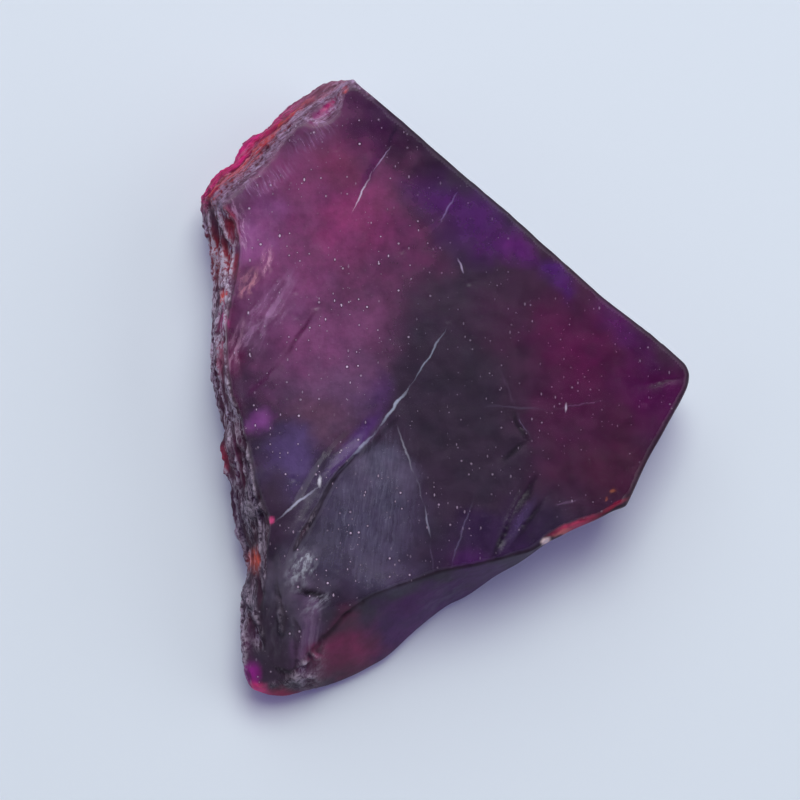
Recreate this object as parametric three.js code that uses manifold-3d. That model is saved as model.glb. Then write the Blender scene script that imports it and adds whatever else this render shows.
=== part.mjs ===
// A rough sapphire: one slab-shaped fragment of a crystal, lying on its flat back.
// Millimetres, +Z up. The broad front face looks up, +Y runs from the pointed foot to the apex.
// The slab is a stack of closed outlines from the rim of the front face down to the back. The
// flake scar, cracks, flutes, pits and chips of its surface are then cut out of it.

import * as THREE from 'three';
import { ImprovedNoise } from 'three/addons/math/ImprovedNoise.js';
import { mergeVertices } from 'three/addons/utils/BufferGeometryUtils.js';
import Module from 'manifold-3d';

// --- Driving dimensions ---------------------------------------------------------------------

const FRONT_HEIGHT = 11.5; // front face above the table, over the middle of the slab
const FRONT_RISE_X = -0.055; // the slab is thickest along its left side
const FRONT_RISE_Y = 0.01;
const FOOT_DROP = 6.8; // how far the front face bends down to the foot
const FOOT_BEND_START = [-9.5, -21.5]; // where that bend begins, in plan
const FOOT_BEND_LENGTH = 15;
const FOOT_DIRECTION = [-0.45, -0.89];
const SWELL = { height: 0.34, length: 17 }; // broad waves of the front face
const RIPPLE = { height: 0.1, length: 6 };

const PLAN_CENTRE = [0.12, -0.08]; // middle of the slab's box, which becomes the origin
const HEART = [-3, -2]; // the point that the faces' triangles gather round
const SIDE_RINGS = 15;
const FRONT_SPACING = 1.75;
const BACK_SPACING = 6;
const SCAR_SPACING = 1.6;
const VALLEY_SPACING = 1.5; // between the sections of a long cut
const SHORTEST_EDGE = 0.12;

const SIDE_ROUNDING = 0.4; // share of a side's bulge that is rounded; the rest is straight
const RELIEF_FADE = { rim: 0.09, foot: 0.05 }; // shares of the height where the relief fades out
const LID_HEADROOM = 4; // how far the flake's cutter stands above the front face
const VALLEY_LIFT = 0.25; // the same for a long cut
const BLUNTEST_END = 0.15; // share of a long cut's section that is left at its ends
const BITE_UNEVENNESS = 0.35;

// --- Sides of the slab, clockwise from the apex ----------------------------------------------
// rim: edge of the front face. girdle: where the side stands out furthest, at girdleHeight.
// undercut: how far the back's edge lies inside the girdle. steps: columns of vertices.

const SIDES = [
  {
    name: 'long cleavage side',
    steps: 27,
    girdleHeight: 6,
    undercut: 0.9,
    grain: { cleaved: 1 },
    rim: [[-9.3, 31.3], [-4.3, 27.1], [0.9, 22.5], [6.9, 17.4], [12, 12.8], [17.1, 8.2],
      [23.5, 3.2], [25.7, 1.1]],
    girdle: [[-9.4, 32.7], [-3.9, 27.3], [0.9, 22.6], [6.9, 17.5], [12, 12.9], [17.1, 8.3],
      [23.4, 3.2], [25.6, 1.2]],
  },
  {
    name: 'short right side',
    steps: 14,
    girdleHeight: 6,
    undercut: 1.4,
    grain: { broken: 1 },
    rim: [[25.7, 1.1], [26.2, -0.1], [26, -1], [23.6, -5.5], [21.9, -8.5], [20.5, -11.3],
      [19.3, -13.9]],
    girdle: [[25.6, 1.2], [26, -0.1], [25.7, -1.1], [23.3, -5.6], [21.6, -8.6], [20.1, -11.4],
      [19, -13.8]],
  },
  {
    name: 'chipped lower side',
    steps: 9,
    girdleHeight: 6,
    undercut: 1.6,
    grain: { broken: 1 },
    rim: [[19.3, -13.9], [18.1, -14.3], [16.2, -15.4], [13.9, -16.4], [11.1, -17.8],
      [9.1, -18.9]],
    girdle: [[19, -13.8], [17.6, -14], [15.8, -14.9], [13.5, -15.9], [11, -17.2], [9.2, -18.4]],
  },
  {
    name: 'lower bevel',
    steps: 22,
    girdleHeight: 1.2,
    undercut: 0.5,
    grain: { smooth: 1 },
    rim: [[9.1, -18.9], [4, -20.2], [-0.6, -21], [-4.4, -22], [-7.6, -23.1], [-10.2, -25],
      [-12.6, -28.2], [-15.6, -31.2]],
    girdle: [[9.2, -18.4], [5.7, -20.3], [2.8, -22.4], [0.6, -23.4], [-2.7, -26.3], [-5.8, -29.1],
      [-9.2, -30.9], [-12.2, -32.2], [-16.3, -33.3]],
  },
  {
    name: 'splintered left side',
    steps: 60,
    girdleHeight: 4.6,
    undercut: 1.3,
    grain: { splintered: 1 },
    rim: [[-15.6, -31.2], [-18.1, -29.6], [-18.5, -24], [-18.1, -21], [-17.9, -15.6], [-19.2, -12],
      [-20.3, -7.5], [-21.7, -3.2], [-22.4, 0.8], [-22.4, 5.2], [-21.9, 8.4], [-20.9, 12.6],
      [-22.2, 15.6], [-23.1, 17.7]],
    girdle: [[-16.3, -33.3], [-18.9, -33.2], [-20.5, -32.5], [-20.9, -27], [-20.9, -24.4],
      [-20.1, -20], [-21.5, -15.7], [-22.8, -8.9], [-23.5, -6.9], [-23, -5.5], [-24.1, -0.9],
      [-24.5, 2], [-24.2, 8], [-24.5, 14.4], [-25.4, 17.4], [-26, 20]],
  },
  {
    name: 'layered upper left side',
    steps: 28,
    girdleHeight: 5,
    undercut: 1.6,
    grain: { layered: 1 },
    rim: [[-23.1, 17.7], [-19.4, 21], [-17.4, 23.5], [-16.2, 25.4], [-14.6, 26.8], [-13, 28],
      [-11, 29.6], [-9.3, 31.3]],
    girdle: [[-26, 20], [-24.3, 22.7], [-22.4, 23.8], [-22.1, 24.8], [-20.8, 26.8], [-18.8, 27.8],
      [-17.9, 29.2], [-15.6, 30.8], [-14, 31.5], [-13.4, 32.3], [-11.8, 33], [-9.4, 32.7]],
  },
];

// --- Relief of the sides, as distance outwards in millimetres ---------------------------------
// along: distance along the outline. height: above the table. Each call of the noise reads a
// slice of its own, picked by its bare last coordinates.

const SPLINTER = { pitch: 2.7, depth: 0.5, slant: 0.075, wander: 1.3 };
const LAYER = { pitch: 1.5, depth: 0.24, wander: 0.7 };

const noise = new ImprovedNoise();

/** A ridged wave from -1 to 1 with sharp crests and round hollows. */
const crest = (phase) => 1 - 2 * Math.abs(Math.sin(Math.PI * phase));

const GRAINS = {
  splintered(along, height) {
    const drift = SPLINTER.wander * noise.noise(along / 11, 3.1, 0.5)
      + 0.5 * noise.noise(along / 5, height / 4, 7.3);
    const ridges = crest((height - SPLINTER.slant * along + drift) / SPLINTER.pitch);
    const lumps = noise.noise(along / 5, height / 3, 12.7);
    return SPLINTER.depth * ridges * (0.7 + 0.5 * noise.noise(along / 6, 1.7, 4.2)) + 0.45 * lumps;
  },
  layered(along, height) {
    const drift = LAYER.wander * noise.noise(along / 6, 5.7, 0.9);
    const steps = crest((height + drift) / LAYER.pitch);
    return LAYER.depth * steps + 0.3 * noise.noise(along / 3, height / 5, 2.3);
  },
  cleaved(along, height) {
    return 0.12 * noise.noise(along / 5, height / 2, 8.8) + 0.05 * crest(height / 2.6);
  },
  broken(along, height) {
    return 0.35 * noise.noise(along / 5, height / 4, 6.1);
  },
  smooth(along, height) {
    return 0.28 * noise.noise(along / 6, height / 5, 9.4);
  },
};

// --- Marks on the front face -------------------------------------------------------------------

// The flake that came away left a shallow scar: deep under the main ledge on its left, and
// running out to a thin edge on its right and at its foot, across the crease of the bevel.
const FLAKE_SCAR = {
  heart: [-8, -16],
  thinEdge: [[-5.2, -4.4], [-4.2, -6.9], [-3.2, -9.4], [-2, -13], [-1.4, -16], [-1.2, -17.8],
    [-0.5, -19.5], [-0.3, -21.4], [-0.6, -23], [-4.6, -24.4], [-8.4, -25.9], [-12.2, -27.4],
    [-15.8, -24.8], [-16.7, -22.6]],
  ledge: [[-16.4, -21], [-15, -18.2], [-13.5, -15.6], [-12.2, -13], [-10.8, -10.6],
    [-8.1, -7.9]],
  edgeDepth: 0.14,
  ledgeDepth: 0.95,
  reach: 6.5, // distance from the thin edge at which the scar is at full depth
};

// Long cuts with a V section: cracks, steps between terraces, flutes. lean moves the deepest
// line from the middle (0) to the right-hand (1) or left-hand (-1) edge of the path's direction.
const VALLEYS = [
  { name: 'terrace above the ledge', width: 2.9, depth: 0.5, lean: 0.8,
    path: [[-5.2, -4.6], [-7.6, -6.6], [-9.7, -8.4], [-11.4, -10.4], [-12.7, -12.8],
      [-14.2, -15.2], [-16.3, -17.4]] },
  { name: 'crack above the ledge', width: 0.5, depth: 0.3, lean: 0,
    path: [[0.5, 5.2], [-0.7, 2.7], [-2.8, -0.6], [-5.1, -4.2], [-6.6, -6.2]] },
  { name: 'crease of the left shoulder', width: 1.5, depth: 0.18, lean: 0.3,
    path: [[-10.2, 14.8], [-11.3, 11.7], [-12.1, 9.6], [-13.3, 6.7], [-15.2, 3.5], [-16.9, 1.3],
      [-18.2, -1.1], [-19.7, -2.4], [-21.2, -3.6]] },
  { name: 'long groove, lower right', width: 0.95, depth: 0.32, lean: 0.2,
    path: [[4.9, -20.9], [6.1, -17.6], [7.2, -14.5], [8.7, -12.2], [10.3, -10.1]] },
  { name: 'short groove, lower right', width: 0.7, depth: 0.24, lean: 0.2,
    path: [[6.9, -18], [8.3, -15.9], [9.5, -14.6], [11.7, -11.6]] },
  { name: 'hairline by the scar', width: 0.45, depth: 0.2, lean: 0,
    path: [[1.3, -21.2], [2, -16.6], [2.7, -12.2]] },
  { name: 'crack below the apex', width: 0.45, depth: 0.22, lean: 0.2,
    path: [[-9.5, 16.4], [-8.5, 19], [-7.2, 21.3], [-5.4, 24], [-4.4, 26.9]] },
  { name: 'hairline by the long side', width: 0.45, depth: 0.2, lean: 0,
    path: [[-0.1, 15.8], [0.8, 17.7], [1.8, 19.6]] },
  { name: 'notched step, upper arm', width: 0.6, depth: 0.24, lean: 0.5,
    path: [[7.3, -2.6], [7.9, -4.1], [8.9, -7.1]] },
  { name: 'notched step, lower arm', width: 0.6, depth: 0.24, lean: 0.5,
    path: [[9.1, -6.8], [7.4, -8.4], [5.6, -9.8]] },
  { name: 'line at the right corner', width: 0.6, depth: 0.22, lean: 0,
    path: [[20.2, -1.6], [23.2, -0.6], [26.6, -0.2]] },
  { name: 'outer flute of the foot', width: 1.5, depth: 0.7, lean: -0.2,
    path: [[-17.3, -16.8], [-17.6, -20], [-17.5, -23.6], [-17.1, -27.4], [-17.6, -30.4]] },
  { name: 'middle flute of the foot', width: 1.3, depth: 0.5, lean: 0.3,
    path: [[-15.6, -24.2], [-15.4, -27], [-15.8, -29.4], [-15.4, -31.4]] },
  { name: 'inner flute of the foot', width: 1.2, depth: 0.42, lean: -0.3,
    path: [[-13.4, -24.4], [-12.9, -26.8], [-12.7, -29.4], [-12.2, -31]] },
  { name: 'runnel of the left rim', width: 1.2, depth: 0.3, lean: -0.3,
    path: [[-21.5, 6.8], [-21.5, 2.6], [-20.8, -1], [-19.9, -5.2], [-19.3, -8.2]] },
  { name: 'flute of the left shoulder', width: 1.3, depth: 0.16, lean: 0.3,
    path: [[-17.5, 9.6], [-18.7, 7], [-19.7, 3.2], [-20.3, 1]] },
];

// Rounded bites. at: centre in plan. size: half length, half breadth and depth. turn: degrees
// from +X to the length. sink lowers the centre below the front face.
const BITES = [
  { name: 'bright crescent by the apex', at: [-12.3, 28.4], size: [2.6, 1.3, 1.1], turn: 44 },
  { name: 'edge chip of the lower side', at: [13.6, -16.9], size: [3.6, 0.9, 1.3], turn: 24 },
  { name: 'pit of the scar, right', at: [-13.1, -23.1], size: [1.3, 0.55, 0.9], turn: -14 },
  { name: 'pit of the scar, left', at: [-14.9, -22.6], size: [0.9, 0.5, 0.8], turn: 24 },
  { name: 'hollow above the pit', at: [-13.9, -21.2], size: [0.8, 0.6, 0.4], turn: 60 },
  { name: 'shelf of the left rim, top', at: [-22.3, 14.2], size: [2.9, 0.9, 1.5], turn: 97 },
  { name: 'shelf of the left rim, middle', at: [-23.2, 9], size: [2.4, 0.7, 2.2], turn: 92 },
  { name: 'bite of the left rim', at: [-22.5, -3.4], size: [1.7, 0.7, 1], turn: 80 },
  { name: 'dark hollow of the left side', at: [-20.9, -10.4], size: [2.3, 0.8, 1.2], turn: 107 },
  { name: 'dark hollow of the foot', at: [-19.9, -23.6], size: [2.4, 0.8, 1.6], turn: 86 },
  { name: 'corner nick, lower right', at: [19.8, -13.6], size: [1, 0.6, 0.7], turn: 120 },
  { name: 'corner nick, right', at: [26.3, -0.6], size: [1, 0.5, 0.5], turn: 70 },
  { name: 'nick of the bevel', at: [-2.6, -27.4], size: [1.5, 0.8, 1], turn: 40, sink: 9.6 },
  { name: 'nick of the long side, foot', at: [10.4, 15], size: [3.2, 1.1, 2], turn: -41,
    sink: 10.6 },
  { name: 'nick of the short side, foot', at: [22.2, -8.8], size: [2.4, 1, 2], turn: 62,
    sink: 9.8 },
];

// --- Surfaces and solids -----------------------------------------------------------------------

const wasm = await Module();
wasm.setup();

const { lerp, smoothstep, degToRad } = THREE.MathUtils;

/** Height of the unbroken front face over a point of the plan. */
function frontHeight(x, y) {
  const [bendX, bendY] = FOOT_BEND_START;
  const past = (x - bendX) * FOOT_DIRECTION[0] + (y - bendY) * FOOT_DIRECTION[1];
  const bend = FOOT_DROP * smoothstep(past, 0, FOOT_BEND_LENGTH);
  const swell = SWELL.height * noise.noise(x / SWELL.length, y / SWELL.length, 0.37);
  const ripple = RIPPLE.height * noise.noise(x / RIPPLE.length, y / RIPPLE.length, 5.2);
  return FRONT_HEIGHT + FRONT_RISE_X * x + FRONT_RISE_Y * y - bend + swell + ripple;
}

/** Points spaced evenly along an open line, without its last point unless closing is true. */
function walk(line, steps, closing = false) {
  const path = new THREE.CurvePath();
  const corners = line.map(([x, y]) => new THREE.Vector2(x, y));
  corners.slice(1).forEach((corner, i) => path.add(new THREE.LineCurve(corners[i], corner)));
  const count = closing ? steps + 1 : steps;
  return Array.from({ length: count }, (_, i) => path.getPointAt(i / steps).toArray());
}

/** Running distance to each point of a closed outline, and its whole length at the end. */
function distances(outline) {
  const run = [0];
  outline.forEach((point, i) => {
    const next = outline[(i + 1) % outline.length];
    run.push(run[i] + Math.hypot(next[0] - point[0], next[1] - point[1]));
  });
  return run;
}

/** Outward normals of a clockwise closed outline. */
function outwards(outline) {
  const count = outline.length;
  return outline.map((_, i) => {
    const before = outline[(i + count - 1) % count];
    const after = outline[(i + 1) % count];
    const dx = after[0] - before[0];
    const dy = after[1] - before[1];
    const size = Math.hypot(dx, dy);
    return [-dy / size, dx / size];
  });
}

/** Mean of each value with its neighbours round a closed ring. */
function blurred(values, reach) {
  return values.map((_, i) => {
    let sum = 0;
    for (let k = -reach; k <= reach; k += 1) {
      sum += values[(i + k + values.length) % values.length];
    }
    return sum / (2 * reach + 1);
  });
}

/** A closed surface under construction: points, and triangles that face outwards. */
class Shell {
  constructor() {
    this.points = [];
    this.triangles = [];
  }

  /** Adds a closed clockwise ring of points [x, y, z]; at holds their shares of its length. */
  ring(points) {
    const first = this.points.length / 3;
    points.forEach((point) => this.points.push(...point));
    const run = distances(points);
    const whole = run[points.length];
    return {
      points,
      index: points.map((_, i) => first + i),
      at: points.map((_, i) => run[i] / whole),
      length: whole,
    };
  }

  triangle(a, b, c, upwards) {
    this.triangles.push(...(upwards ? [a, b, c] : [c, b, a]));
  }

  /** Joins an upper ring to a lower ring with the same number of points. */
  wall(upper, lower) {
    upper.index.forEach((a, i) => {
      const next = (i + 1) % upper.index.length;
      this.triangle(a, upper.index[next], lower.index[next], true);
      this.triangle(a, lower.index[next], lower.index[i], true);
    });
  }

  /** Joins a ring to a smaller one inside it. */
  stitch(outer, inner, upwards) {
    const outerCount = outer.index.length;
    const innerCount = inner.index.length;
    let i = 0;
    let j = 0;
    while (i < outerCount || j < innerCount) {
      const a = outer.index[i % outerCount];
      const b = inner.index[j % innerCount];
      const outerNext = i + 1 < outerCount ? outer.at[i + 1] : 1;
      const innerNext = j + 1 < innerCount ? inner.at[j + 1] : 1;
      if (j >= innerCount || (i < outerCount && outerNext <= innerNext)) {
        this.triangle(outer.index[(i + 1) % outerCount], a, b, upwards);
        i += 1;
      } else {
        this.triangle(a, b, inner.index[(j + 1) % innerCount], upwards);
        j += 1;
      }
    }
  }

  /** Fills a ring with smaller and smaller rings round its heart, at a height given in plan. */
  fill(outer, heart, spacing, height, upwards) {
    const [heartX, heartY] = heart;
    const spread = outer.points.map(([x, y]) => Math.hypot(x - heartX, y - heartY));
    const mean = spread.reduce((sum, d) => sum + d, 0) / spread.length;
    const rings = Math.max(2, Math.round(mean / spacing));
    const closed = [...outer.points, outer.points[0]];
    let last = outer;
    for (let k = 1; k < rings; k += 1) {
      const share = 1 - k / rings;
      const count = Math.max(6, Math.round((share * outer.length) / spacing));
      const inner = [];
      for (let i = 0, column = 0; i < count; i += 1) {
        const at = i / count;
        while (column + 1 < outer.at.length && outer.at[column + 1] <= at) column += 1;
        const from = outer.at[column];
        const to = column + 1 < outer.at.length ? outer.at[column + 1] : 1;
        const part = (at - from) / (to - from);
        const x = lerp(heartX, lerp(closed[column][0], closed[column + 1][0], part), share);
        const y = lerp(heartY, lerp(closed[column][1], closed[column + 1][1], part), share);
        inner.push([x, y, height(x, y)]);
      }
      const ring = this.ring(inner);
      ring.at = inner.map((_, i) => i / count);
      this.stitch(last, ring, upwards);
      last = ring;
    }
    this.points.push(heartX, heartY, height(heartX, heartY));
    const middle = this.points.length / 3 - 1;
    last.index.forEach((a, i) => {
      this.triangle(last.index[(i + 1) % last.index.length], a, middle, upwards);
    });
  }

  solid() {
    const mesh = new wasm.Mesh({
      numProp: 3,
      vertProperties: new Float32Array(this.points),
      triVerts: new Uint32Array(this.triangles),
    });
    return new wasm.Manifold(mesh);
  }
}

/** The slab before any mark is cut: side rings from the rim to the back, then both faces. */
function makeSlab() {
  const rim = SIDES.flatMap((side) => walk(side.rim, side.steps));
  const girdle = SIDES.flatMap((side) => walk(side.girdle, side.steps));
  const perColumn = (value) => SIDES.flatMap((side) => Array(side.steps).fill(value(side)));
  const girdleHeight = blurred(perColumn((side) => side.girdleHeight), 3);
  const undercut = blurred(perColumn((side) => side.undercut), 3);
  const grains = Object.keys(GRAINS).map((name) => [
    GRAINS[name],
    blurred(perColumn((side) => side.grain[name] ?? 0), 1),
  ]);
  const normals = outwards(girdle);
  const along = distances(girdle);
  const base = girdle.map(([x, y], i) => [
    x - undercut[i] * normals[i][0],
    y - undercut[i] * normals[i][1],
  ]);

  const pointAt = (i, depth) => {
    const top = frontHeight(...rim[i]);
    const z = top * (1 - depth);
    const above = z >= girdleHeight[i];
    const far = above ? rim[i] : base[i];
    const span = above ? top - girdleHeight[i] : girdleHeight[i];
    const share = 1 - Math.abs(z - girdleHeight[i]) / span;
    const rounded = lerp(share, Math.sin((Math.PI / 2) * share), SIDE_ROUNDING);
    const bulge = above ? rounded : share;
    const relief = grains.reduce((sum, [grain, weight]) => sum + weight[i] * grain(along[i], z), 0);
    const fade = smoothstep(depth, 0, RELIEF_FADE.rim)
      * smoothstep(1 - depth, 0, RELIEF_FADE.foot);
    return [
      lerp(far[0], girdle[i][0], bulge) + normals[i][0] * relief * fade,
      lerp(far[1], girdle[i][1], bulge) + normals[i][1] * relief * fade,
      z,
    ];
  };

  const shell = new Shell();
  const rings = Array.from({ length: SIDE_RINGS + 1 }, (_, k) => (
    shell.ring(rim.map((_, i) => pointAt(i, k / SIDE_RINGS)))
  ));
  rings.slice(1).forEach((ring, k) => shell.wall(rings[k], ring));
  shell.fill(rings[0], HEART, FRONT_SPACING, frontHeight, true);
  shell.fill(rings[SIDE_RINGS], HEART, BACK_SPACING, () => 0, false);
  return shell.solid();
}

/** Distance from a point of the plan to an open line. */
function distanceToLine(x, y, line) {
  const point = new THREE.Vector3(x, y, 0);
  const nearest = new THREE.Vector3();
  const gaps = line.slice(1).map((end, i) => {
    const stretch = new THREE.Line3(new THREE.Vector3(...line[i], 0), new THREE.Vector3(...end, 0));
    return stretch.closestPointToPoint(point, true, nearest).distanceTo(point);
  });
  return Math.min(...gaps);
}

/** What the lost flake held: its outline from above the front face down to the scar's floor. */
function makeFlake({ heart, thinEdge, ledge, edgeDepth, ledgeDepth, reach }) {
  const outline = [...thinEdge, ...ledge, thinEdge[0]];
  const length = distances(outline.slice(0, -1)).at(-1);
  const floor = (x, y) => {
    const share = Math.min(1, distanceToLine(x, y, thinEdge) / reach);
    return frontHeight(x, y) - lerp(edgeDepth, ledgeDepth, share);
  };
  const lid = FRONT_HEIGHT + LID_HEADROOM;
  const plan = walk(outline, Math.round(length / SCAR_SPACING));
  const shell = new Shell();
  const upper = shell.ring(plan.map(([x, y]) => [x, y, lid]));
  const lower = shell.ring(plan.map(([x, y]) => [x, y, floor(x, y)]));
  shell.wall(upper, lower);
  shell.fill(upper, heart, BACK_SPACING, () => lid, true);
  shell.fill(lower, heart, SCAR_SPACING, floor, false);
  return shell.solid();
}

/** A V-section cutter along a path on the front face, fading out at both ends. */
function makeValley({ path, width, depth, lean }) {
  const steps = Math.max(3, Math.round(distances(path).at(-2) / VALLEY_SPACING));
  const stations = walk(path, steps, true);
  const shell = new Shell();
  const sections = stations.map(([x, y], i) => {
    const before = stations[Math.max(0, i - 1)];
    const after = stations[Math.min(steps, i + 1)];
    const size = Math.hypot(after[0] - before[0], after[1] - before[1]);
    const right = [(after[1] - before[1]) / size, -(after[0] - before[0]) / size];
    const fromEnd = Math.min(i, steps - i) / steps;
    const taper = Math.max(BLUNTEST_END, Math.min(1, 4 * fromEnd));
    const half = (width / 2) * Math.sqrt(taper);
    const flare = half * (1 + VALLEY_LIFT / (depth * taper));
    const place = (offset, rise) => {
      const px = x + right[0] * offset;
      const py = y + right[1] * offset;
      return [px, py, frontHeight(px, py) + rise];
    };
    const first = shell.points.length / 3;
    shell.points.push(...place(-flare, VALLEY_LIFT), ...place(flare, VALLEY_LIFT));
    shell.points.push(...place(lean * half, -depth * taper));
    return [first, first + 1, first + 2];
  });
  sections.slice(1).forEach((section, i) => {
    const behind = sections[i];
    section.forEach((point, k) => {
      const next = (k + 1) % 3;
      shell.triangle(point, behind[k], behind[next], true);
      shell.triangle(point, behind[next], section[next], true);
    });
  });
  shell.triangle(...sections[0], false);
  shell.triangle(...sections[steps], true);
  return shell.solid();
}

/** A rounded, slightly uneven cutter for a pit or an edge chip. */
function makeBite({ at, size, turn, sink = 0 }) {
  const lump = new THREE.IcosahedronGeometry(1, 1);
  const corners = lump.getAttribute('position');
  for (let i = 0; i < corners.count; i += 1) {
    const corner = new THREE.Vector3().fromBufferAttribute(corners, i);
    const wave = noise.noise(corner.x * 2 + at[0], corner.y * 2 + at[1], corner.z * 2);
    corner.multiplyScalar(1 + BITE_UNEVENNESS * wave);
    corners.setXYZ(i, corner.x, corner.y, corner.z);
  }
  lump.scale(...size);
  lump.rotateZ(degToRad(turn));
  lump.translate(at[0], at[1], frontHeight(...at) - sink);
  return solidOf(lump);
}

/** A three.js geometry as a solid, its shared vertices merged. */
function solidOf(geometry) {
  geometry.deleteAttribute('normal');
  geometry.deleteAttribute('uv');
  const merged = mergeVertices(geometry, 1e-5);
  return new wasm.Manifold(new wasm.Mesh({
    numProp: 3,
    vertProperties: new Float32Array(merged.getAttribute('position').array),
    triVerts: new Uint32Array(merged.getIndex().array),
  }));
}

/** For every vertex, the set of triangles that use it. */
function trianglesByVertex(triangles) {
  const users = new Map();
  triangles.forEach((triangle) => triangle.forEach((vertex) => {
    if (!users.has(vertex)) users.set(vertex, new Set());
    users.get(vertex).add(triangle);
  }));
  return users;
}

/** The triangles of the largest connected surface: cuts can leave loose crumbs beside it. */
function largestSurface(triangles) {
  const users = trianglesByVertex(triangles);
  const seen = new Set();
  let largest = [];
  triangles.forEach((start) => {
    if (seen.has(start)) return;
    const surface = [];
    const waiting = [start];
    seen.add(start);
    while (waiting.length > 0) {
      const triangle = waiting.pop();
      surface.push(triangle);
      triangle.forEach((vertex) => users.get(vertex).forEach((next) => {
        if (seen.has(next)) return;
        seen.add(next);
        waiting.push(next);
      }));
    }
    if (surface.length > largest.length) largest = surface;
  });
  return largest;
}

/** Draws the ends of very short edges together, where the surface stays closed and unfolded. */
function withoutShortEdges(corners, triangles, shortest) {
  const users = trianglesByVertex(triangles);
  const neighbours = (vertex) => new Set([...users.get(vertex)].flat());
  const normal = (triangle) => {
    const [a, b, c] = triangle.map((vertex) => corners[vertex]);
    return b.clone().sub(a).cross(c.clone().sub(a));
  };
  const unfolded = (from, to) => [...users.get(from)].every((triangle) => {
    if (triangle.includes(to)) return true;
    const before = normal(triangle);
    const after = normal(triangle.map((vertex) => (vertex === from ? to : vertex)));
    return after.length() > 1e-7 && before.dot(after) > -1e-9;
  });
  const draw = (from, to) => {
    const ring = neighbours(from);
    const shared = [...neighbours(to)].filter((vertex) => ring.has(vertex)).length;
    if (shared !== 4 || !unfolded(from, to)) return false; // the two ends and two others
    [...users.get(from)].forEach((triangle) => {
      if (triangle.includes(to)) {
        triangle.forEach((vertex) => users.get(vertex).delete(triangle));
        triangles.splice(triangles.indexOf(triangle), 1);
      } else {
        triangle[triangle.indexOf(from)] = to;
        users.get(to).add(triangle);
      }
    });
    users.delete(from);
    return true;
  };
  let changed = true;
  while (changed) {
    changed = false;
    const edges = triangles.flatMap(([a, b, c]) => [[a, b], [b, c], [c, a]]);
    edges.forEach(([from, to]) => {
      const joined = users.has(from) && users.has(to) && neighbours(from).has(to);
      if (!joined || corners[from].distanceTo(corners[to]) > shortest) return;
      changed = draw(from, to) || changed;
    });
  }
  return triangles;
}

/** A carved solid as a clean three.js geometry. */
function geometryOf(solid) {
  const { vertProperties, triVerts } = solid.getMesh();
  const corners = Array.from({ length: vertProperties.length / 3 }, (_, i) => (
    new THREE.Vector3().fromArray(vertProperties, 3 * i)
  ));
  const all = Array.from({ length: triVerts.length / 3 }, (_, i) => (
    [...triVerts.slice(3 * i, 3 * i + 3)]
  ));
  const triangles = withoutShortEdges(corners, largestSurface(all), SHORTEST_EDGE);
  const used = [...new Set(triangles.flat())];
  const number = new Map(used.map((vertex, i) => [vertex, i]));
  const geometry = new THREE.BufferGeometry().setFromPoints(used.map((vertex) => corners[vertex]));
  geometry.setIndex(triangles.flat().map((vertex) => number.get(vertex)));
  geometry.computeVertexNormals();
  return geometry;
}

// --- The stone ---------------------------------------------------------------------------------

const cutters = [makeFlake(FLAKE_SCAR), ...VALLEYS.map(makeValley), ...BITES.map(makeBite)];
const carved = cutters.reduce((solid, cutter) => solid.subtract(cutter), makeSlab());

const sapphire = new THREE.MeshStandardMaterial({
  color: 0x4b2650,
  roughness: 0.35,
  metalness: 0,
});
const stone = new THREE.Mesh(geometryOf(carved), sapphire);
stone.name = 'stone';
stone.position.set(-PLAN_CENTRE[0], -PLAN_CENTRE[1], 0);

const roughSapphire = new THREE.Group();
roughSapphire.name = 'rough_sapphire';
roughSapphire.add(stone);

export default roughSapphire;
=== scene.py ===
"""A rough sapphire: one broken slab of crystal, lying on its flat back on a pale table.

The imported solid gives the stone's form and place. This script makes its fine surface, its dark
translucent finish, and the table, light and camera around it. Lengths are millimetres in the
stone's own frame unless a name says metres; MM turns them into metres.
"""

import logging
import math
from collections.abc import Sequence
from dataclasses import asdict, dataclass
from enum import Enum
from functools import reduce
from typing import Any

import bmesh
import bpy
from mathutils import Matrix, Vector


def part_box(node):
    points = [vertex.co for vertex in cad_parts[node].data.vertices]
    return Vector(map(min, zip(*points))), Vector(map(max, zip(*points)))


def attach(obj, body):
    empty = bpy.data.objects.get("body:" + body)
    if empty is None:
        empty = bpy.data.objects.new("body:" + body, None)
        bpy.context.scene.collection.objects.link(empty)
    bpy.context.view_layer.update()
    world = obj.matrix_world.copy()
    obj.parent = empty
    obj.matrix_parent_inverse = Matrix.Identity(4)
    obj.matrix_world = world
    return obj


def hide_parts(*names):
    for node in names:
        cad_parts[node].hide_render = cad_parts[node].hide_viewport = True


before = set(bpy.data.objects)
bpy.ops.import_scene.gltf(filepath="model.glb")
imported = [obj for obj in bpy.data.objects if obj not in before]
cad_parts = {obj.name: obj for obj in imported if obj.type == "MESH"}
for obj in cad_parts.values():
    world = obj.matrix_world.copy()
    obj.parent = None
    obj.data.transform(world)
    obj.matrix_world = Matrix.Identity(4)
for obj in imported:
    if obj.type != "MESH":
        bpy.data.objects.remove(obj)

LOG = logging.getLogger("rough_sapphire")
MM = 0.001
LEAF_TURN = 38  # degrees from +X to the leaves of the layered side
IN_PLAN = (1.0, 1.0, 0.0)
MIDDLE = (0.5, 0.5, 0.5)  # the mean of coloured noise

Light = tuple[float, float, float]  # a linear colour
Shade = tuple[int, int, int]  # a display colour, each channel from 0 to 255
Point = tuple[float, float]
Socket = bpy.types.NodeSocket


def linear(shade: Shade) -> tuple[float, float, float, float]:
    """Turns a display colour into a linear one.

    Args:
        shade: Red, green and blue, 0 to 255.

    Returns:
        Linear red, green, blue and an alpha of 1.
    """
    def channel(value: int) -> float:
        """One channel, by the sRGB curve."""
        share = value / 255
        return share / 12.92 if share <= 0.04045 else ((share + 0.055) / 1.055) ** 2.4

    red, green, blue = shade
    return (channel(red), channel(green), channel(blue), 1.0)


# --- Node trees ---------------------------------------------------------------------------------


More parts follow.
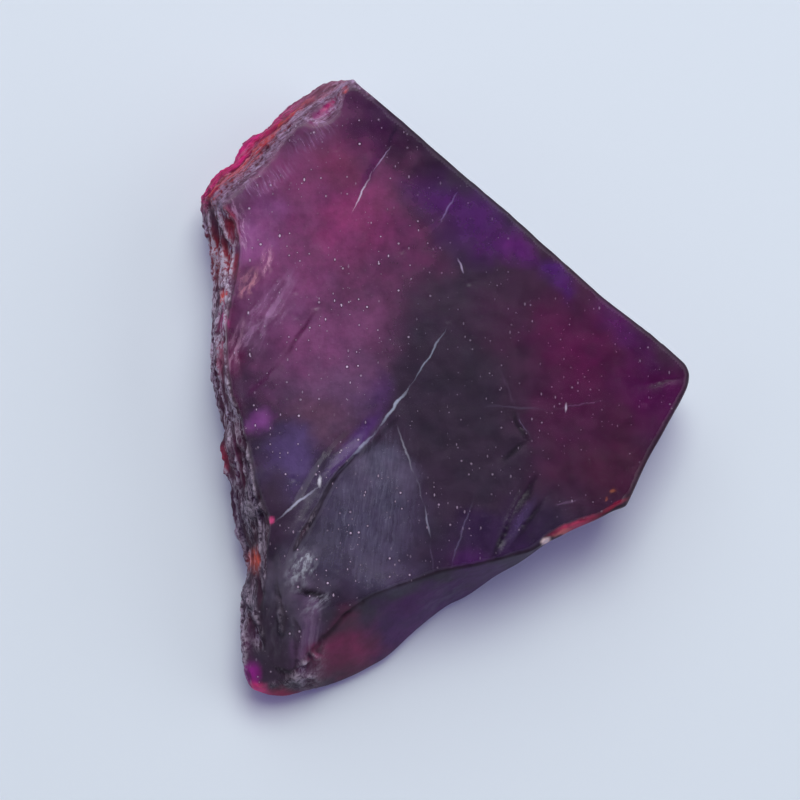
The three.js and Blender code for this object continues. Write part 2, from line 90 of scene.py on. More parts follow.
class Sheet:
    """Short ways to lay out nodes in one shader, geometry or group tree."""

    def __init__(self, tree: bpy.types.NodeTree) -> None:
        """Starts on a tree, which may already hold nodes."""
        self.tree = tree

    def node(self, kind: str, **settings: Any) -> bpy.types.Node:
        """Adds a node and sets its properties.

        Args:
            kind: The node's type name.
            settings: Property values by name.

        Returns:
            The new node.
        """
        made = self.tree.nodes.new(kind)
        for name, value in settings.items():
            setattr(made, name, value)
        return made

    def plug(self, socket: Socket, value: Any) -> None:
        """Links a socket to an output, or gives it a plain value.

        Args:
            socket: The input socket.
            value: An output socket, or the plain value.
        """
        if isinstance(value, bpy.types.NodeSocket):
            self.tree.links.new(value, socket)
        else:
            socket.default_value = value

    def feed(self, node: bpy.types.Node, **values: Any) -> bpy.types.Node:
        """Plugs values into a node's enabled inputs.

        Args:
            node: The node to feed.
            values: Values by socket name, with _ for each space.

        Returns:
            The same node.
        """
        for name, value in values.items():
            wanted = name.replace("_", " ")
            self.plug(next(s for s in node.inputs if s.enabled and s.name == wanted), value)
        return node

    @staticmethod
    def out(node: bpy.types.Node, name: str = "") -> Socket:
        """The enabled output of that name, or the first enabled one."""
        return next(s for s in node.outputs if s.enabled and name in ("", s.name))

    def worked(self, kind: str, operation: str, values: Sequence[Any]) -> Socket:
        """Adds a Math or Vector Math node.

        Args:
            kind: The node's type name.
            operation: The node's operation.
            values: Its enabled inputs in order.

        Returns:
            The node's output.
        """
        made = self.node(kind, operation=operation)
        for socket, value in zip([s for s in made.inputs if s.enabled], values):
            self.plug(socket, value)
        return self.out(made)

    def math(self, operation: str, *values: Any) -> Socket:
        """Adds a Math node on numbers."""
        return self.worked("ShaderNodeMath", operation, values)

    def vector(self, operation: str, *values: Any) -> Socket:
        """Adds a Vector Math node."""
        return self.worked("ShaderNodeVectorMath", operation, values)

    def product(self, *values: Any) -> Socket:
        """Multiplies any number of values."""
        return reduce(lambda so_far, value: self.math("MULTIPLY", so_far, value), values)

    def total(self, *values: Any) -> Socket:
        """Adds any number of values."""
        return reduce(lambda so_far, value: self.math("ADD", so_far, value), values)

    def rest(self, share: Any) -> Socket:
        """What a share leaves of 1."""
        return self.math("SUBTRACT", 1.0, share)

    def ramp(self, value: Any, low: float, high: float, start: float = 0.0, end: float = 1.0,
             smooth: bool = True) -> Socket:
        """Maps a value from one range onto another, held at both ends.

        Args:
            value: What is mapped.
            low: Where the range starts.
            high: Where it ends.
            start: Result at low.
            end: Result at high.
            smooth: Ease at both ends rather than go straight.

        Returns:
            The mapped value.
        """
        style = "SMOOTHSTEP" if smooth else "LINEAR"
        made = self.node("ShaderNodeMapRange", interpolation_type=style)
        for name, number in (("Value", value), ("From Min", low), ("From Max", high),
                             ("To Min", start), ("To Max", end)):
            self.plug(made.inputs[name], number)
        return made.outputs["Result"]

    def fall(self, value: Any, low: float, high: float, start: float = 1.0) -> Socket:
        """Falls smoothly from start at low to 0 at high."""
        return self.ramp(value, low, high, start, 0.0)

    def noise(self, place: Socket, size: float, detail: float = 2.0, rough: float = 0.5,
              colour: bool = False) -> Socket:
        """Adds noise from 0 to 1.

        Args:
            place: Coordinates to read it at.
            size: Size of its lumps.
            detail: How many finer layers it has.
            rough: How strong each finer layer is beside the last.
            colour: Three numbers rather than one.

        Returns:
            The noise.
        """
        made = self.node("ShaderNodeTexNoise", noise_dimensions="3D")
        self.feed(made, Vector=place, Scale=1 / size, Detail=detail, Roughness=rough)
        return made.outputs["Color" if colour else 0]

    def folded(self, value: Socket, count: float) -> Socket:
        """Folds a value from 0 to 1 back and forth count times, each fold from 0 to 1."""
        folds = self.math("PINGPONG", self.math("MULTIPLY", value, count), 0.5)
        return self.math("MULTIPLY", folds, 2.0)

    def mix(self, share: Any, first: Any, second: Any, blend: str = "MIX") -> Socket:
        """Mixes two colours."""
        made = self.node("ShaderNodeMix", data_type="RGBA", blend_type=blend)
        return self.out(self.feed(made, Factor=share, A=first, B=second))

    def paint(self, share: Any, colour: Any, shade: Shade) -> Socket:
        """Mixes a display colour over a colour."""
        return self.mix(share, colour, linear(shade))

    def blend(self, share: Any, first: Any, second: Any) -> Socket:
        """Mixes two numbers."""
        made = self.node("ShaderNodeMix", data_type="FLOAT")
        return self.out(self.feed(made, Factor=share, A=first, B=second))

    def parts(self, place: Socket) -> tuple[Socket, Socket, Socket]:
        """Splits a vector into its three numbers."""
        made = self.feed(self.node("ShaderNodeSeparateXYZ"), Vector=place)
        return made.outputs[0], made.outputs[1], made.outputs[2]

    def joined(self, x: Any, y: Any, z: Any) -> Socket:
        """Makes a vector of three numbers."""
        return self.feed(self.node("ShaderNodeCombineXYZ"), X=x, Y=y, Z=z).outputs[0]

    def leafwise(self, place: Socket, stretch: float = 1.0) -> Socket:
        """Turns coordinates so that the first axis runs along the leaves of the layered side.

        Args:
            place: Coordinates to start from.
            stretch: Length of one unit along the leaves.

        Returns:
            The new coordinates.
        """
        made = self.node("ShaderNodeVectorRotate", rotation_type="Z_AXIS", invert=True)
        self.feed(made, Vector=place, Angle=math.radians(LEAF_TURN))
        return self.vector("DIVIDE", made.outputs[0], (stretch, 1.0, 1.0))


def new_group(name: str, kind: str, inputs: Sequence[tuple[str, str, Any]],
              outputs: Sequence[tuple[str, str]]) -> tuple[Sheet, dict[str, Socket], Any]:
    """Starts a node group with named inputs and outputs.

    Args:
        name: The group's name.
        kind: ShaderNodeTree or GeometryNodeTree.
        inputs: Name, socket type and starting value of each input; None leaves the value.
        outputs: Name and socket type of each output.

    Returns:
        The group's sheet, its input sockets by name, and its output node.
    """
    tree = bpy.data.node_groups.new(name, kind)
    for label, style, value in inputs:
        made = tree.interface.new_socket(name=label, in_out="INPUT", socket_type=style)
        if value is not None:
            made.default_value = value
    for label, style in outputs:
        tree.interface.new_socket(name=label, in_out="OUTPUT", socket_type=style)
    sheet = Sheet(tree)
    given = sheet.node("NodeGroupInput")
    return sheet, {s.name: s for s in given.outputs if s.name}, sheet.node("NodeGroupOutput")


# --- Colour in the stone ------------------------------------------------------------------------


@dataclass(frozen=True)
class Zone:
    """A soft-edged ellipse of colour in the stone, seen in plan."""

    name: str
    centre: Point
    radii: Point
    colour: Shade
    turn: float = 0.0  # degrees from +X to the first radius
    share: float = 0.9


@dataclass(frozen=True)
class Line:
    """A thin pointed mark on the front face, from start to end."""

    name: str
    start: Point
    end: Point
    width: float
    colour: Shade
    share: float = 0.9
    frosted: bool = False

    LONG = 0.55  # first radius of the line's ellipse over the line's length
    WIDE = 0.75  # second radius over its width

    def zone(self) -> Zone:
        """Turns the line into a long thin ellipse.

        Returns:
            The ellipse.
        """
        start, end = Vector(self.start), Vector(self.end)
        run, middle = end - start, (end + start) / 2
        return Zone(self.name, (middle.x, middle.y),
                    (self.LONG * run.length, self.WIDE * self.width),
                    self.colour, math.degrees(math.atan2(run.y, run.x)), self.share)


@dataclass(frozen=True)
class Veil:
    """A frosted patch of fine parallel streaks, seen in plan."""

    name: str
    centre: Point
    radii: Point  # along the streaks, then across them
    turn: float  # degrees from +X to the streaks
    streak: float  # width of one streak, in millimetres
    colour: Shade
    share: float = 0.6
    stretch: float = 9.0  # length of a streak over its width


HEART = (58, 42, 62)

ZONES = (
    Zone("wine half", (16.0, -1.0), (16.0, 21.0), (74, 22, 60), 35),
    Zone("plum half", (-13.5, 15.0), (16.0, 22.0), (124, 54, 102), -20),
    Zone("mauve shoulder", (-13.5, 5.0), (11.0, 11.0), (122, 66, 110), 50),
    Zone("mauve foot of the shoulder", (-11.0, -2.5), (9.0, 6.0), (112, 72, 108), 30, 0.8),
    Zone("smoky fold", (-10.5, 8.6), (3.0, 7.5), (84, 38, 72), -38, 0.6),
    Zone("magenta glow", (-8.8, 16.4), (5.4, 8.0), (150, 44, 104), -15, 0.42),
    Zone("magenta band", (-3.0, 13.5), (6.4, 3.8), (118, 34, 92), -30, 0.3),
    Zone("brown heart of the plum", (-11.0, 21.8), (5.4, 5.0), (112, 46, 80), 0, 0.7),
    Zone("lilac side", (-19.5, 14.5), (4.5, 5.0), (144, 78, 140), 0, 0.6),
    Zone("violet apex", (-6.5, 27.5), (6.0, 5.5), (60, 22, 62), 0, 0.95),
    Zone("dark long side", (-2.5, 23.0), (6.5, 3.0), (46, 24, 50), -42, 0.9),
    Zone("violet band", (2.0, 17.0), (8.0, 4.6), (78, 26, 98), -42, 0.8),
    Zone("violet cloud", (7.2, 13.0), (4.2, 2.4), (98, 26, 112), -42, 0.75),
    Zone("blue cloud", (11.0, 9.9), (3.0, 2.2), (84, 28, 118), -42, 0.6),
    Zone("wine cloud", (13.5, 3.0), (8.0, 6.0), (88, 22, 68), -42, 0.7),
    Zone("violet edge", (19.0, 4.2), (6.5, 2.6), (80, 20, 86), -42, 0.7),
    Zone("magenta corner", (23.0, -2.0), (6.6, 5.4), (80, 12, 70), 0, 0.85),
    Zone("wine corner", (17.0, -9.5), (6.5, 8.0), (70, 28, 52), -25, 0.7),
    Zone("dark heart", (2.0, -3.0), (9.0, 13.5), (54, 42, 58), 10, 0.85),
    Zone("indigo foot of the heart", (5.5, -17.6), (8.5, 4.6), (50, 28, 66), 18, 0.75),
    # The grey of the scar facet, brighter at its top, is a painted sheen of the light on its tilt.
    Zone("painted sheen of the scar", (-8.6, -15.5), (9.5, 12.0), (70, 60, 86), 14, 0.95),
    Zone("painted sheen, top of the scar", (-6.0, -9.5), (4.6, 5.6), (92, 80, 106), 20, 0.85),
    Zone("painted sheen of the scar by the bevel", (-5.0, -20.6), (5.6, 3.0), (76, 62, 90), 20, 0.7),
    Zone("blue shoulder", (-16.2, -9.6), (4.4, 4.6), (82, 62, 110), 20, 0.85),
    Zone("brown above the ledge", (-12.6, -4.8), (5.6, 3.4), (92, 60, 82), 20, 0.7),
    Zone("blue window", (-6.6, -1.8), (3.4, 3.2), (72, 44, 94), 0, 0.6),
    Zone("bevel", (-3.0, -25.6), (11.0, 4.4), (76, 24, 88), 32, 0.95),
    Zone("violet below the rim", (1.5, -22.6), (12.5, 2.5), (74, 30, 92), 20, 0.8),
    Zone("foot glow", (-10.4, -29.0), (6.2, 4.4), (142, 36, 88), 40, 0.75),
    Zone("slate foot", (-14.8, -22.5), (7.5, 4.6), (94, 82, 104), 80, 0.85),
    Zone("foot column", (-14.2, -27.6), (6.4, 2.8), (110, 74, 116), 88, 0.85),
    Zone("splintered side", (-23.0, -6.0), (24.0, 3.4), (92, 24, 66), 93, 0.9),
)

SPOTS = (
    Zone("violet window", (-19.0, -5.2), (2.5, 1.7), (142, 72, 150), 30, 0.6),
    Zone("violet terrace", (-9.6, -8.2), (5.4, 1.1), (84, 46, 112), 48, 0.75),
    Zone("deep red facet", (-24.2, 13.4), (5.4, 1.3), (150, 10, 28), 105, 0.95),
    Zone("maroon facet", (-22.6, 12.6), (3.8, 1.2), (150, 14, 40), 108, 0.95),
    Zone("maroon notch", (-22.2, 15.6), (2.8, 1.0), (176, 18, 52), 108, 0.95),
    Zone("orange splinter", (-22.9, 8.3), (1.3, 0.8), (236, 72, 56), 90, 0.95),
    Zone("magenta splinter", (-23.0, 5.8), (2.6, 0.9), (176, 36, 120), 92, 0.9),
    Zone("pink splinter", (-23.2, 2.0), (2.8, 0.7), (190, 92, 128), 92, 0.7),
    Zone("red bump", (-23.2, -8.2), (2.2, 0.8), (200, 40, 84), 92, 0.9),
    Zone("orange eye", (-19.6, -19.3), (1.9, 0.95), (246, 92, 62), 100, 0.95),
    Zone("indigo splinter", (-21.6, -13.4), (5.0, 1.2), (54, 26, 72), 98, 0.8),
    Zone("plum toe", (-20.2, -27.0), (3.6, 1.5), (74, 24, 66), 85, 0.8),
    Zone("violet toe", (-20.0, -31.0), (2.0, 1.5), (156, 24, 140), 80, 0.9),
    Zone("pink toe", (-19.8, -32.8), (2.6, 1.4), (255, 50, 140), 0, 0.95),
    Zone("red toe", (-17.0, -33.2), (3.0, 1.2), (170, 40, 84), 0, 0.8),
    # Painted shade in a pit of the foot.
    Zone("painted shade in the pit", (-13.6, -23.1), (2.1, 0.8), (16, 10, 16), -14, 0.95),
    Zone("orange end of the crescent", (-10.6, 30.2), (0.9, 0.5), (210, 60, 60), 46, 0.8),
    Zone("pink bead", (-17.8, -15.6), (0.45, 0.45), (226, 80, 140)),
    Zone("amber grain", (17.6, -12.4), (0.36, 0.26), (176, 96, 64), 20, 0.7),
    Zone("amber grain, low", (17.0, -13.1), (0.3, 0.2), (160, 80, 60), 20, 0.7),
)

EDGE_SPOTS = (
    Zone("pink edge", (13.6, -16.0), (3.8, 0.55), (206, 62, 104), 22, 0.8),
    Zone("red edge", (17.8, -13.9), (2.6, 0.34), (136, 22, 54), 30, 0.75),
    Zone("orange of the edge", (12.4, -16.7), (1.6, 0.3), (232, 122, 116), 24, 0.5),
    # Painted highlight on the chipped edge.
    Zone("painted highlight on the edge", (10.7, -17.6), (0.8, 0.5), (246, 214, 222), 25, 0.95),
)

LINES = (
    Line("crack below the apex", (-9.5, 16.9), (-7.2, 21.8), 0.15, (205, 190, 215), 0.9, True),
    Line("crack's faint end", (-7.5, 21.0), (-5.3, 24.4), 0.13, (170, 150, 190), 0.7, True),
    Line("shade of the crack", (-9.0, 18.6), (-6.0, 24.6), 1.1, (70, 16, 70), 0.6),
    Line("end of the crack", (-5.9, 23.6), (-4.5, 27.0), 0.5, (40, 20, 48), 0.7),
    Line("hairline by the long side", (-0.3, 15.8), (1.7, 19.6), 0.16, (140, 120, 170), 0.6),
    Line("shade below the ledge", (-10.4, -10.6), (-3.2, -3.4), 0.6, (30, 22, 34), 0.5),
    # Painted highlights along the lip of the ledge, and of the second ledge below it with its bead.
    Line("highlight of the ledge, upper lip", (-3.4, -1.6), (0.6, 5.0), 0.18, (150, 154, 176), 0.65),
    Line("highlight of the ledge, middle lip", (-6.8, -6.2), (-3.2, -1.2), 0.3, (166, 170, 192), 0.75, True),
    Line("highlight of the ledge, lower lip", (-11.2, -10.9), (-6.4, -5.8), 0.3, (152, 152, 180), 0.7, True),
    Line("highlight of the second ledge", (-17.5, -15.8), (-12.7, -12.0), 0.24, (170, 168, 192), 0.8, True),
    Line("highlight of the second ledge's bead", (-12.9, -12.4), (-12.6, -10.8), 0.34, (205, 200, 214), 0.9, True),
    Line("rise from the bead", (-12.7, -11.2), (-11.9, -8.4), 0.5, (46, 34, 50), 0.6),
    # Painted highlight on the lit wall of the scar's step, down its right edge.
    Line("highlight of the scar's edge, top", (-4.8, -5.4), (-2.9, -11.0), 0.2, (146, 142, 158), 0.7),
    Line("highlight of the scar's edge, middle", (-2.9, -10.6), (-1.9, -14.0), 0.16, (110, 104, 122), 0.5),
    Line("highlight of the scar's edge, foot", (-1.9, -13.8), (-1.3, -17.6), 0.2, (146, 142, 164), 0.7),
    Line("highlight of the scar's edge, below", (-1.4, -17.4), (-0.8, -21.4), 0.24, (84, 70, 96), 0.5),
    # Painted shade in the crease of the shoulder.
    Line("shade in the shoulder's crease, top", (-12.6, 7.4), (-16.9, 0.8), 0.6, (74, 12, 60), 0.8),
    Line("shade in the shoulder's crease, foot", (-16.4, 1.4), (-20.8, -3.2), 0.5, (72, 18, 64), 0.8),
    Line("magenta crescent", (-14.6, 25.7), (-10.3, 30.1), 1.5, (134, 26, 98), 0.85),
    Line("pink end of the crescent", (-13.0, 27.8), (-10.6, 30.0), 0.7, (196, 48, 108), 0.45),
    Line("violet terrace", (-10.8, -8.8), (-5.6, -3.4), 1.5, (80, 46, 106), 0.8),
    Line("notch, lip", (7.6, -3.9), (9.3, -7.0), 0.2, (84, 70, 96), 0.6),
    Line("notch, right", (7.0, -3.6), (9.0, -7.3), 0.7, (20, 14, 24), 0.75),
    Line("notch, left", (9.0, -6.8), (5.8, -9.6), 0.7, (22, 16, 26), 0.7),
    # Painted light on the lilac side between the grooves, then painted shade in the grooves.
    Line("painted light between the grooves", (6.2, -18.6), (10.0, -12.4), 1.0, (80, 62, 104), 0.55),
    Line("shade in the long groove", (4.7, -20.2), (7.4, -14.8), 0.6, (22, 12, 28), 0.8),
    Line("shade in the long groove, top", (7.0, -15.6), (10.5, -9.7), 0.85, (24, 12, 30), 0.7),
    Line("shade in the short groove", (6.9, -18.3), (11.3, -12.3), 0.7, (24, 12, 30), 0.7),
    Line("lilac lip", (0.6, -21.2), (3.4, -12.4), 0.22, (98, 88, 116), 0.45),
    Line("wisp by the grooves", (11.2, -13.9), (14.6, -13.2), 0.3, (108, 82, 112), 0.4),
    Line("wisp above the notch", (5.6, 1.4), (8.0, -4.6), 0.24, (88, 66, 92), 0.35),
    Line("fold of the corner", (20.4, -1.8), (26.0, 0.2), 0.4, (48, 6, 42), 0.6),
    Line("long hairline, left", (3.6, -3.5), (11.6, -3.8), 0.22, (92, 78, 104), 0.35),
    Line("long hairline, right", (11.0, -3.8), (17.8, -2.7), 0.22, (96, 76, 104), 0.35),
    Line("curl", (13.0, -3.0), (12.9, -4.2), 0.2, (200, 186, 210), 0.7),
    Line("curl by the heart", (1.6, 12.2), (2.3, 10.6), 0.2, (190, 170, 205), 0.7),
)

VEILS = (
    Veil("frost of the shoulder", (-18.4, 6.0), (6.6, 2.6), 60, 0.8, (176, 130, 176), 0.6, 4.0),
    Veil("frost by the rim", (-21.5, 2.4), (4.0, 1.2), 78, 0.5, (176, 130, 162), 0.7, 4.0),
    Veil("salmon patch", (-20.2, 9.2), (2.4, 1.2), 66, 0.6, (224, 150, 168), 0.75, 2.5),
    Veil("salmon curl", (-18.3, 11.6), (2.2, 0.9), 84, 0.5, (212, 150, 182), 0.75, 3.0),
    Veil("lilac ridges", (-21.4, 15.4), (4.0, 1.5), -72, 0.4, (190, 142, 182), 0.8, 4.0),
    Veil("rim frost, low", (-18.6, 20.2), (1.6, 4.6), -60, 0.3, (166, 128, 176), 0.46),
    Veil("rim frost, high", (-13.8, 25.0), (1.6, 4.2), -56, 0.3, (156, 118, 166), 0.4),
    Veil("scar flecks", (-7.6, -13.8), (11.5, 7.0), 83, 0.34, (124, 118, 144), 0.24),
    Veil("scar flecks, fine", (-7.0, -13.6), (9.0, 5.0), 84, 0.16, (150, 146, 168), 0.14),
    Veil("chips of the foot", (-14.6, -20.7), (3.0, 1.8), 66, 0.5, (188, 190, 204), 0.8, 2.0),
    Veil("chips by the pit", (-13.2, -24.2), (2.4, 1.4), 40, 0.4, (166, 162, 180), 0.75, 2.5),
    Veil("crackle of the foot", (-17.2, -25.0), (6.5, 2.4), 88, 0.55, (98, 90, 104), 0.55, 3.0),
    Veil("column of the foot", (-13.9, -28.0), (5.4, 1.8), 84, 0.4, (140, 118, 146), 0.6),
    # Painted reflection: a faint satin sheen with waves on the bevel.
    Veil("painted reflection on the bevel", (0.4, -22.6), (4.0, 1.6), 34, 0.3, (110, 96, 132), 0.3),
)


class Patchwork:
    """Soft patches of colour laid over one another in plan, in a shader or a geometry tree."""

    ZONE_CORE = 0.15  # solid share of a zone's radius
    VEIL_CORE = 0.3

    def __init__(self, sheet: Sheet, kind: str) -> None:
        """Builds the mask group for a sheet's kind of tree.

        Args:
            sheet: The tree that gets the patches.
            kind: ShaderNodeTree or GeometryNodeTree.
        """
        self.sheet, self.kind = sheet, kind
        inner, _, result, along, across = self.group("soft zone")
        inner.plug(result.inputs[0], self.soft(inner, along, across, self.ZONE_CORE))
        self.zones = inner.tree

    def group(self, name: str, *extra: tuple[str, str, Any]
              ) -> tuple[Sheet, dict[str, Socket], Any, Socket, Socket]:
        """Starts a mask group that measures a place in plan along two axes about a centre.

        Args:
            name: The group's name.
            extra: Name, socket type and starting value of each further input.

        Returns:
            The group's sheet, its inputs, its output node, and the two measures, 1 at the rim.
        """
        places = [(label, "NodeSocketVector", None)
                  for label in ("Plan", "Centre", "Along", "Across")]
        inner, given, result = new_group(name, self.kind, [*places, *extra],
                                         [("Mask", "NodeSocketFloat")])
        moved = inner.vector("SUBTRACT", given["Plan"], given["Centre"])
        along, across = (inner.vector("DOT_PRODUCT", moved, given[label])
                         for label in ("Along", "Across"))
        return inner, given, result, along, across

    @staticmethod
    def soft(sheet: Sheet, along: Socket, across: Socket, core: float) -> Socket:
        """A mask that is 1 out to the core's share of the radius and fades to 0 at the rim."""
        square = sheet.math("MULTIPLY_ADD", along, along, sheet.math("MULTIPLY", across, across))
        return sheet.fall(sheet.math("SQRT", square), core, 1.0)

    def veils(self) -> bpy.types.NodeTree:
        """Builds the group that masks a soft-edged patch of parallel streaks in plan.

        Returns:
            The group's tree.
        """
        inner, given, result, along, across = self.group(
            "streaked veil", ("Streaks", "NodeSocketVector", None))
        counted = inner.vector("MULTIPLY", inner.joined(along, across, 0.0), given["Streaks"])
        streaks = inner.ramp(inner.noise(counted, 1.0, rough=0.6), 0.36, 0.8)
        patch = self.soft(inner, along, across, self.VEIL_CORE)
        inner.plug(result.inputs[0], inner.math("MULTIPLY", patch, streaks))
        return inner.tree

    def placed(self, group: bpy.types.NodeTree, plan: Socket, patch: Zone | Veil,
               **values: Any) -> Socket:
        """Places a mask group over one zone or veil.

        Args:
            group: The mask group.
            plan: Coordinates in plan.
            patch: The zone or veil.
            values: Further inputs of the group, by name.

        Returns:
            The patch's share of the colour.
        """
        style = "ShaderNodeGroup" if self.kind == "ShaderNodeTree" else "GeometryNodeGroup"
        mask = self.sheet.node(style, node_tree=group, label=patch.name)
        turn = math.radians(patch.turn)
        along = Vector((math.cos(turn), math.sin(turn), 0.0))
        across = Vector((-along.y, along.x, 0.0))
        self.sheet.feed(mask, Plan=plan, Centre=(*patch.centre, 0.0),
                        Along=along / patch.radii[0], Across=across / patch.radii[1], **values)
        return self.sheet.math("MULTIPLY", mask.outputs[0], patch.share)

    def covered(self, plan: Socket, colour: Any, zones: Sequence[Zone]) -> Socket:
        """Lays zones over a colour, one after another.

        Args:
            plan: Coordinates in plan.
            colour: The colour so far.
            zones: The zones to add.

        Returns:
            The new colour.
        """
        for zone in zones:
            colour = self.sheet.paint(self.placed(self.zones, plan, zone), colour, zone.colour)
        return colour

    def stirred(self, place: Socket, waves: Point) -> Socket:
        """Coordinates in plan that wander, so that what lies on them has uneven borders.

        Args:
            place: Coordinates in millimetres.
            waves: Size of the waves, and twice how far a place wanders.

        Returns:
            The wandering coordinates.
        """
        sheet, (size, reach) = self.sheet, waves
        plan = sheet.vector("MULTIPLY", place, IN_PLAN)
        drift = sheet.vector("SUBTRACT", sheet.noise(place, size, 3.0, colour=True), MIDDLE)
        return sheet.vector("ADD", plan, sheet.vector("MULTIPLY", drift, (reach, reach, 0.0)))


# --- Form ---------------------------------------------------------------------------------------


class Mark(Enum):
    """Masks, heights and colours that the surface carries by name, read by the finish."""

    FRONT = "front"
    SLOPE = "slope"
    LEFT = "left_side"
    LAYERED = "layered_side"
    RELIEF = "relief"
    CREASE = "crease"
    TINT = "tint"


@dataclass(frozen=True)
class Relief:
    """Sizes of the fine surface, in millimetres.

    Most set the surface tree's input of the same name.
    """

    voxel: float = 0.235
    crease_angle: float = 24.0  # degrees between two faces that makes their edge a crease
    crease_reach: float = 1.1  # smoothing comes in over this distance from a crease
    front_rounds: int = 26
    side_rounds: int = 7
    fibre_depth: float = 0.4
    fibre_pitch: float = 1.0
    layer_depth: float = 0.34
    layer_pitch: float = 0.8
    scallop_depth: float = 0.28
    swell_depth: float = 0.05
    pit_depth: float = 0.12
    jag_depth: float = 0.17
    seed: int = 11


@dataclass(frozen=True)
class Borders:
    """Where each face and side of the stone begins and ends.

    The first three are shares of straight up in the outward direction, the rest millimetres.
    """

    front: Point = (0.66, 0.86)
    slope: Point = (0.87, 0.965)
    back: Point = (-0.75, -0.5)
    toe: Point = (-32.8, -31.0)  # along Y
    corner: Point = (8.5, 11.5)  # between the left and the layered side, along Y
    corner_lean: float = 0.35  # how far the corner's border falls for each step along X
    left: Point = (-14.5, -11.5)  # along X
    apex: Point = (-10.5, -8.5)  # along X


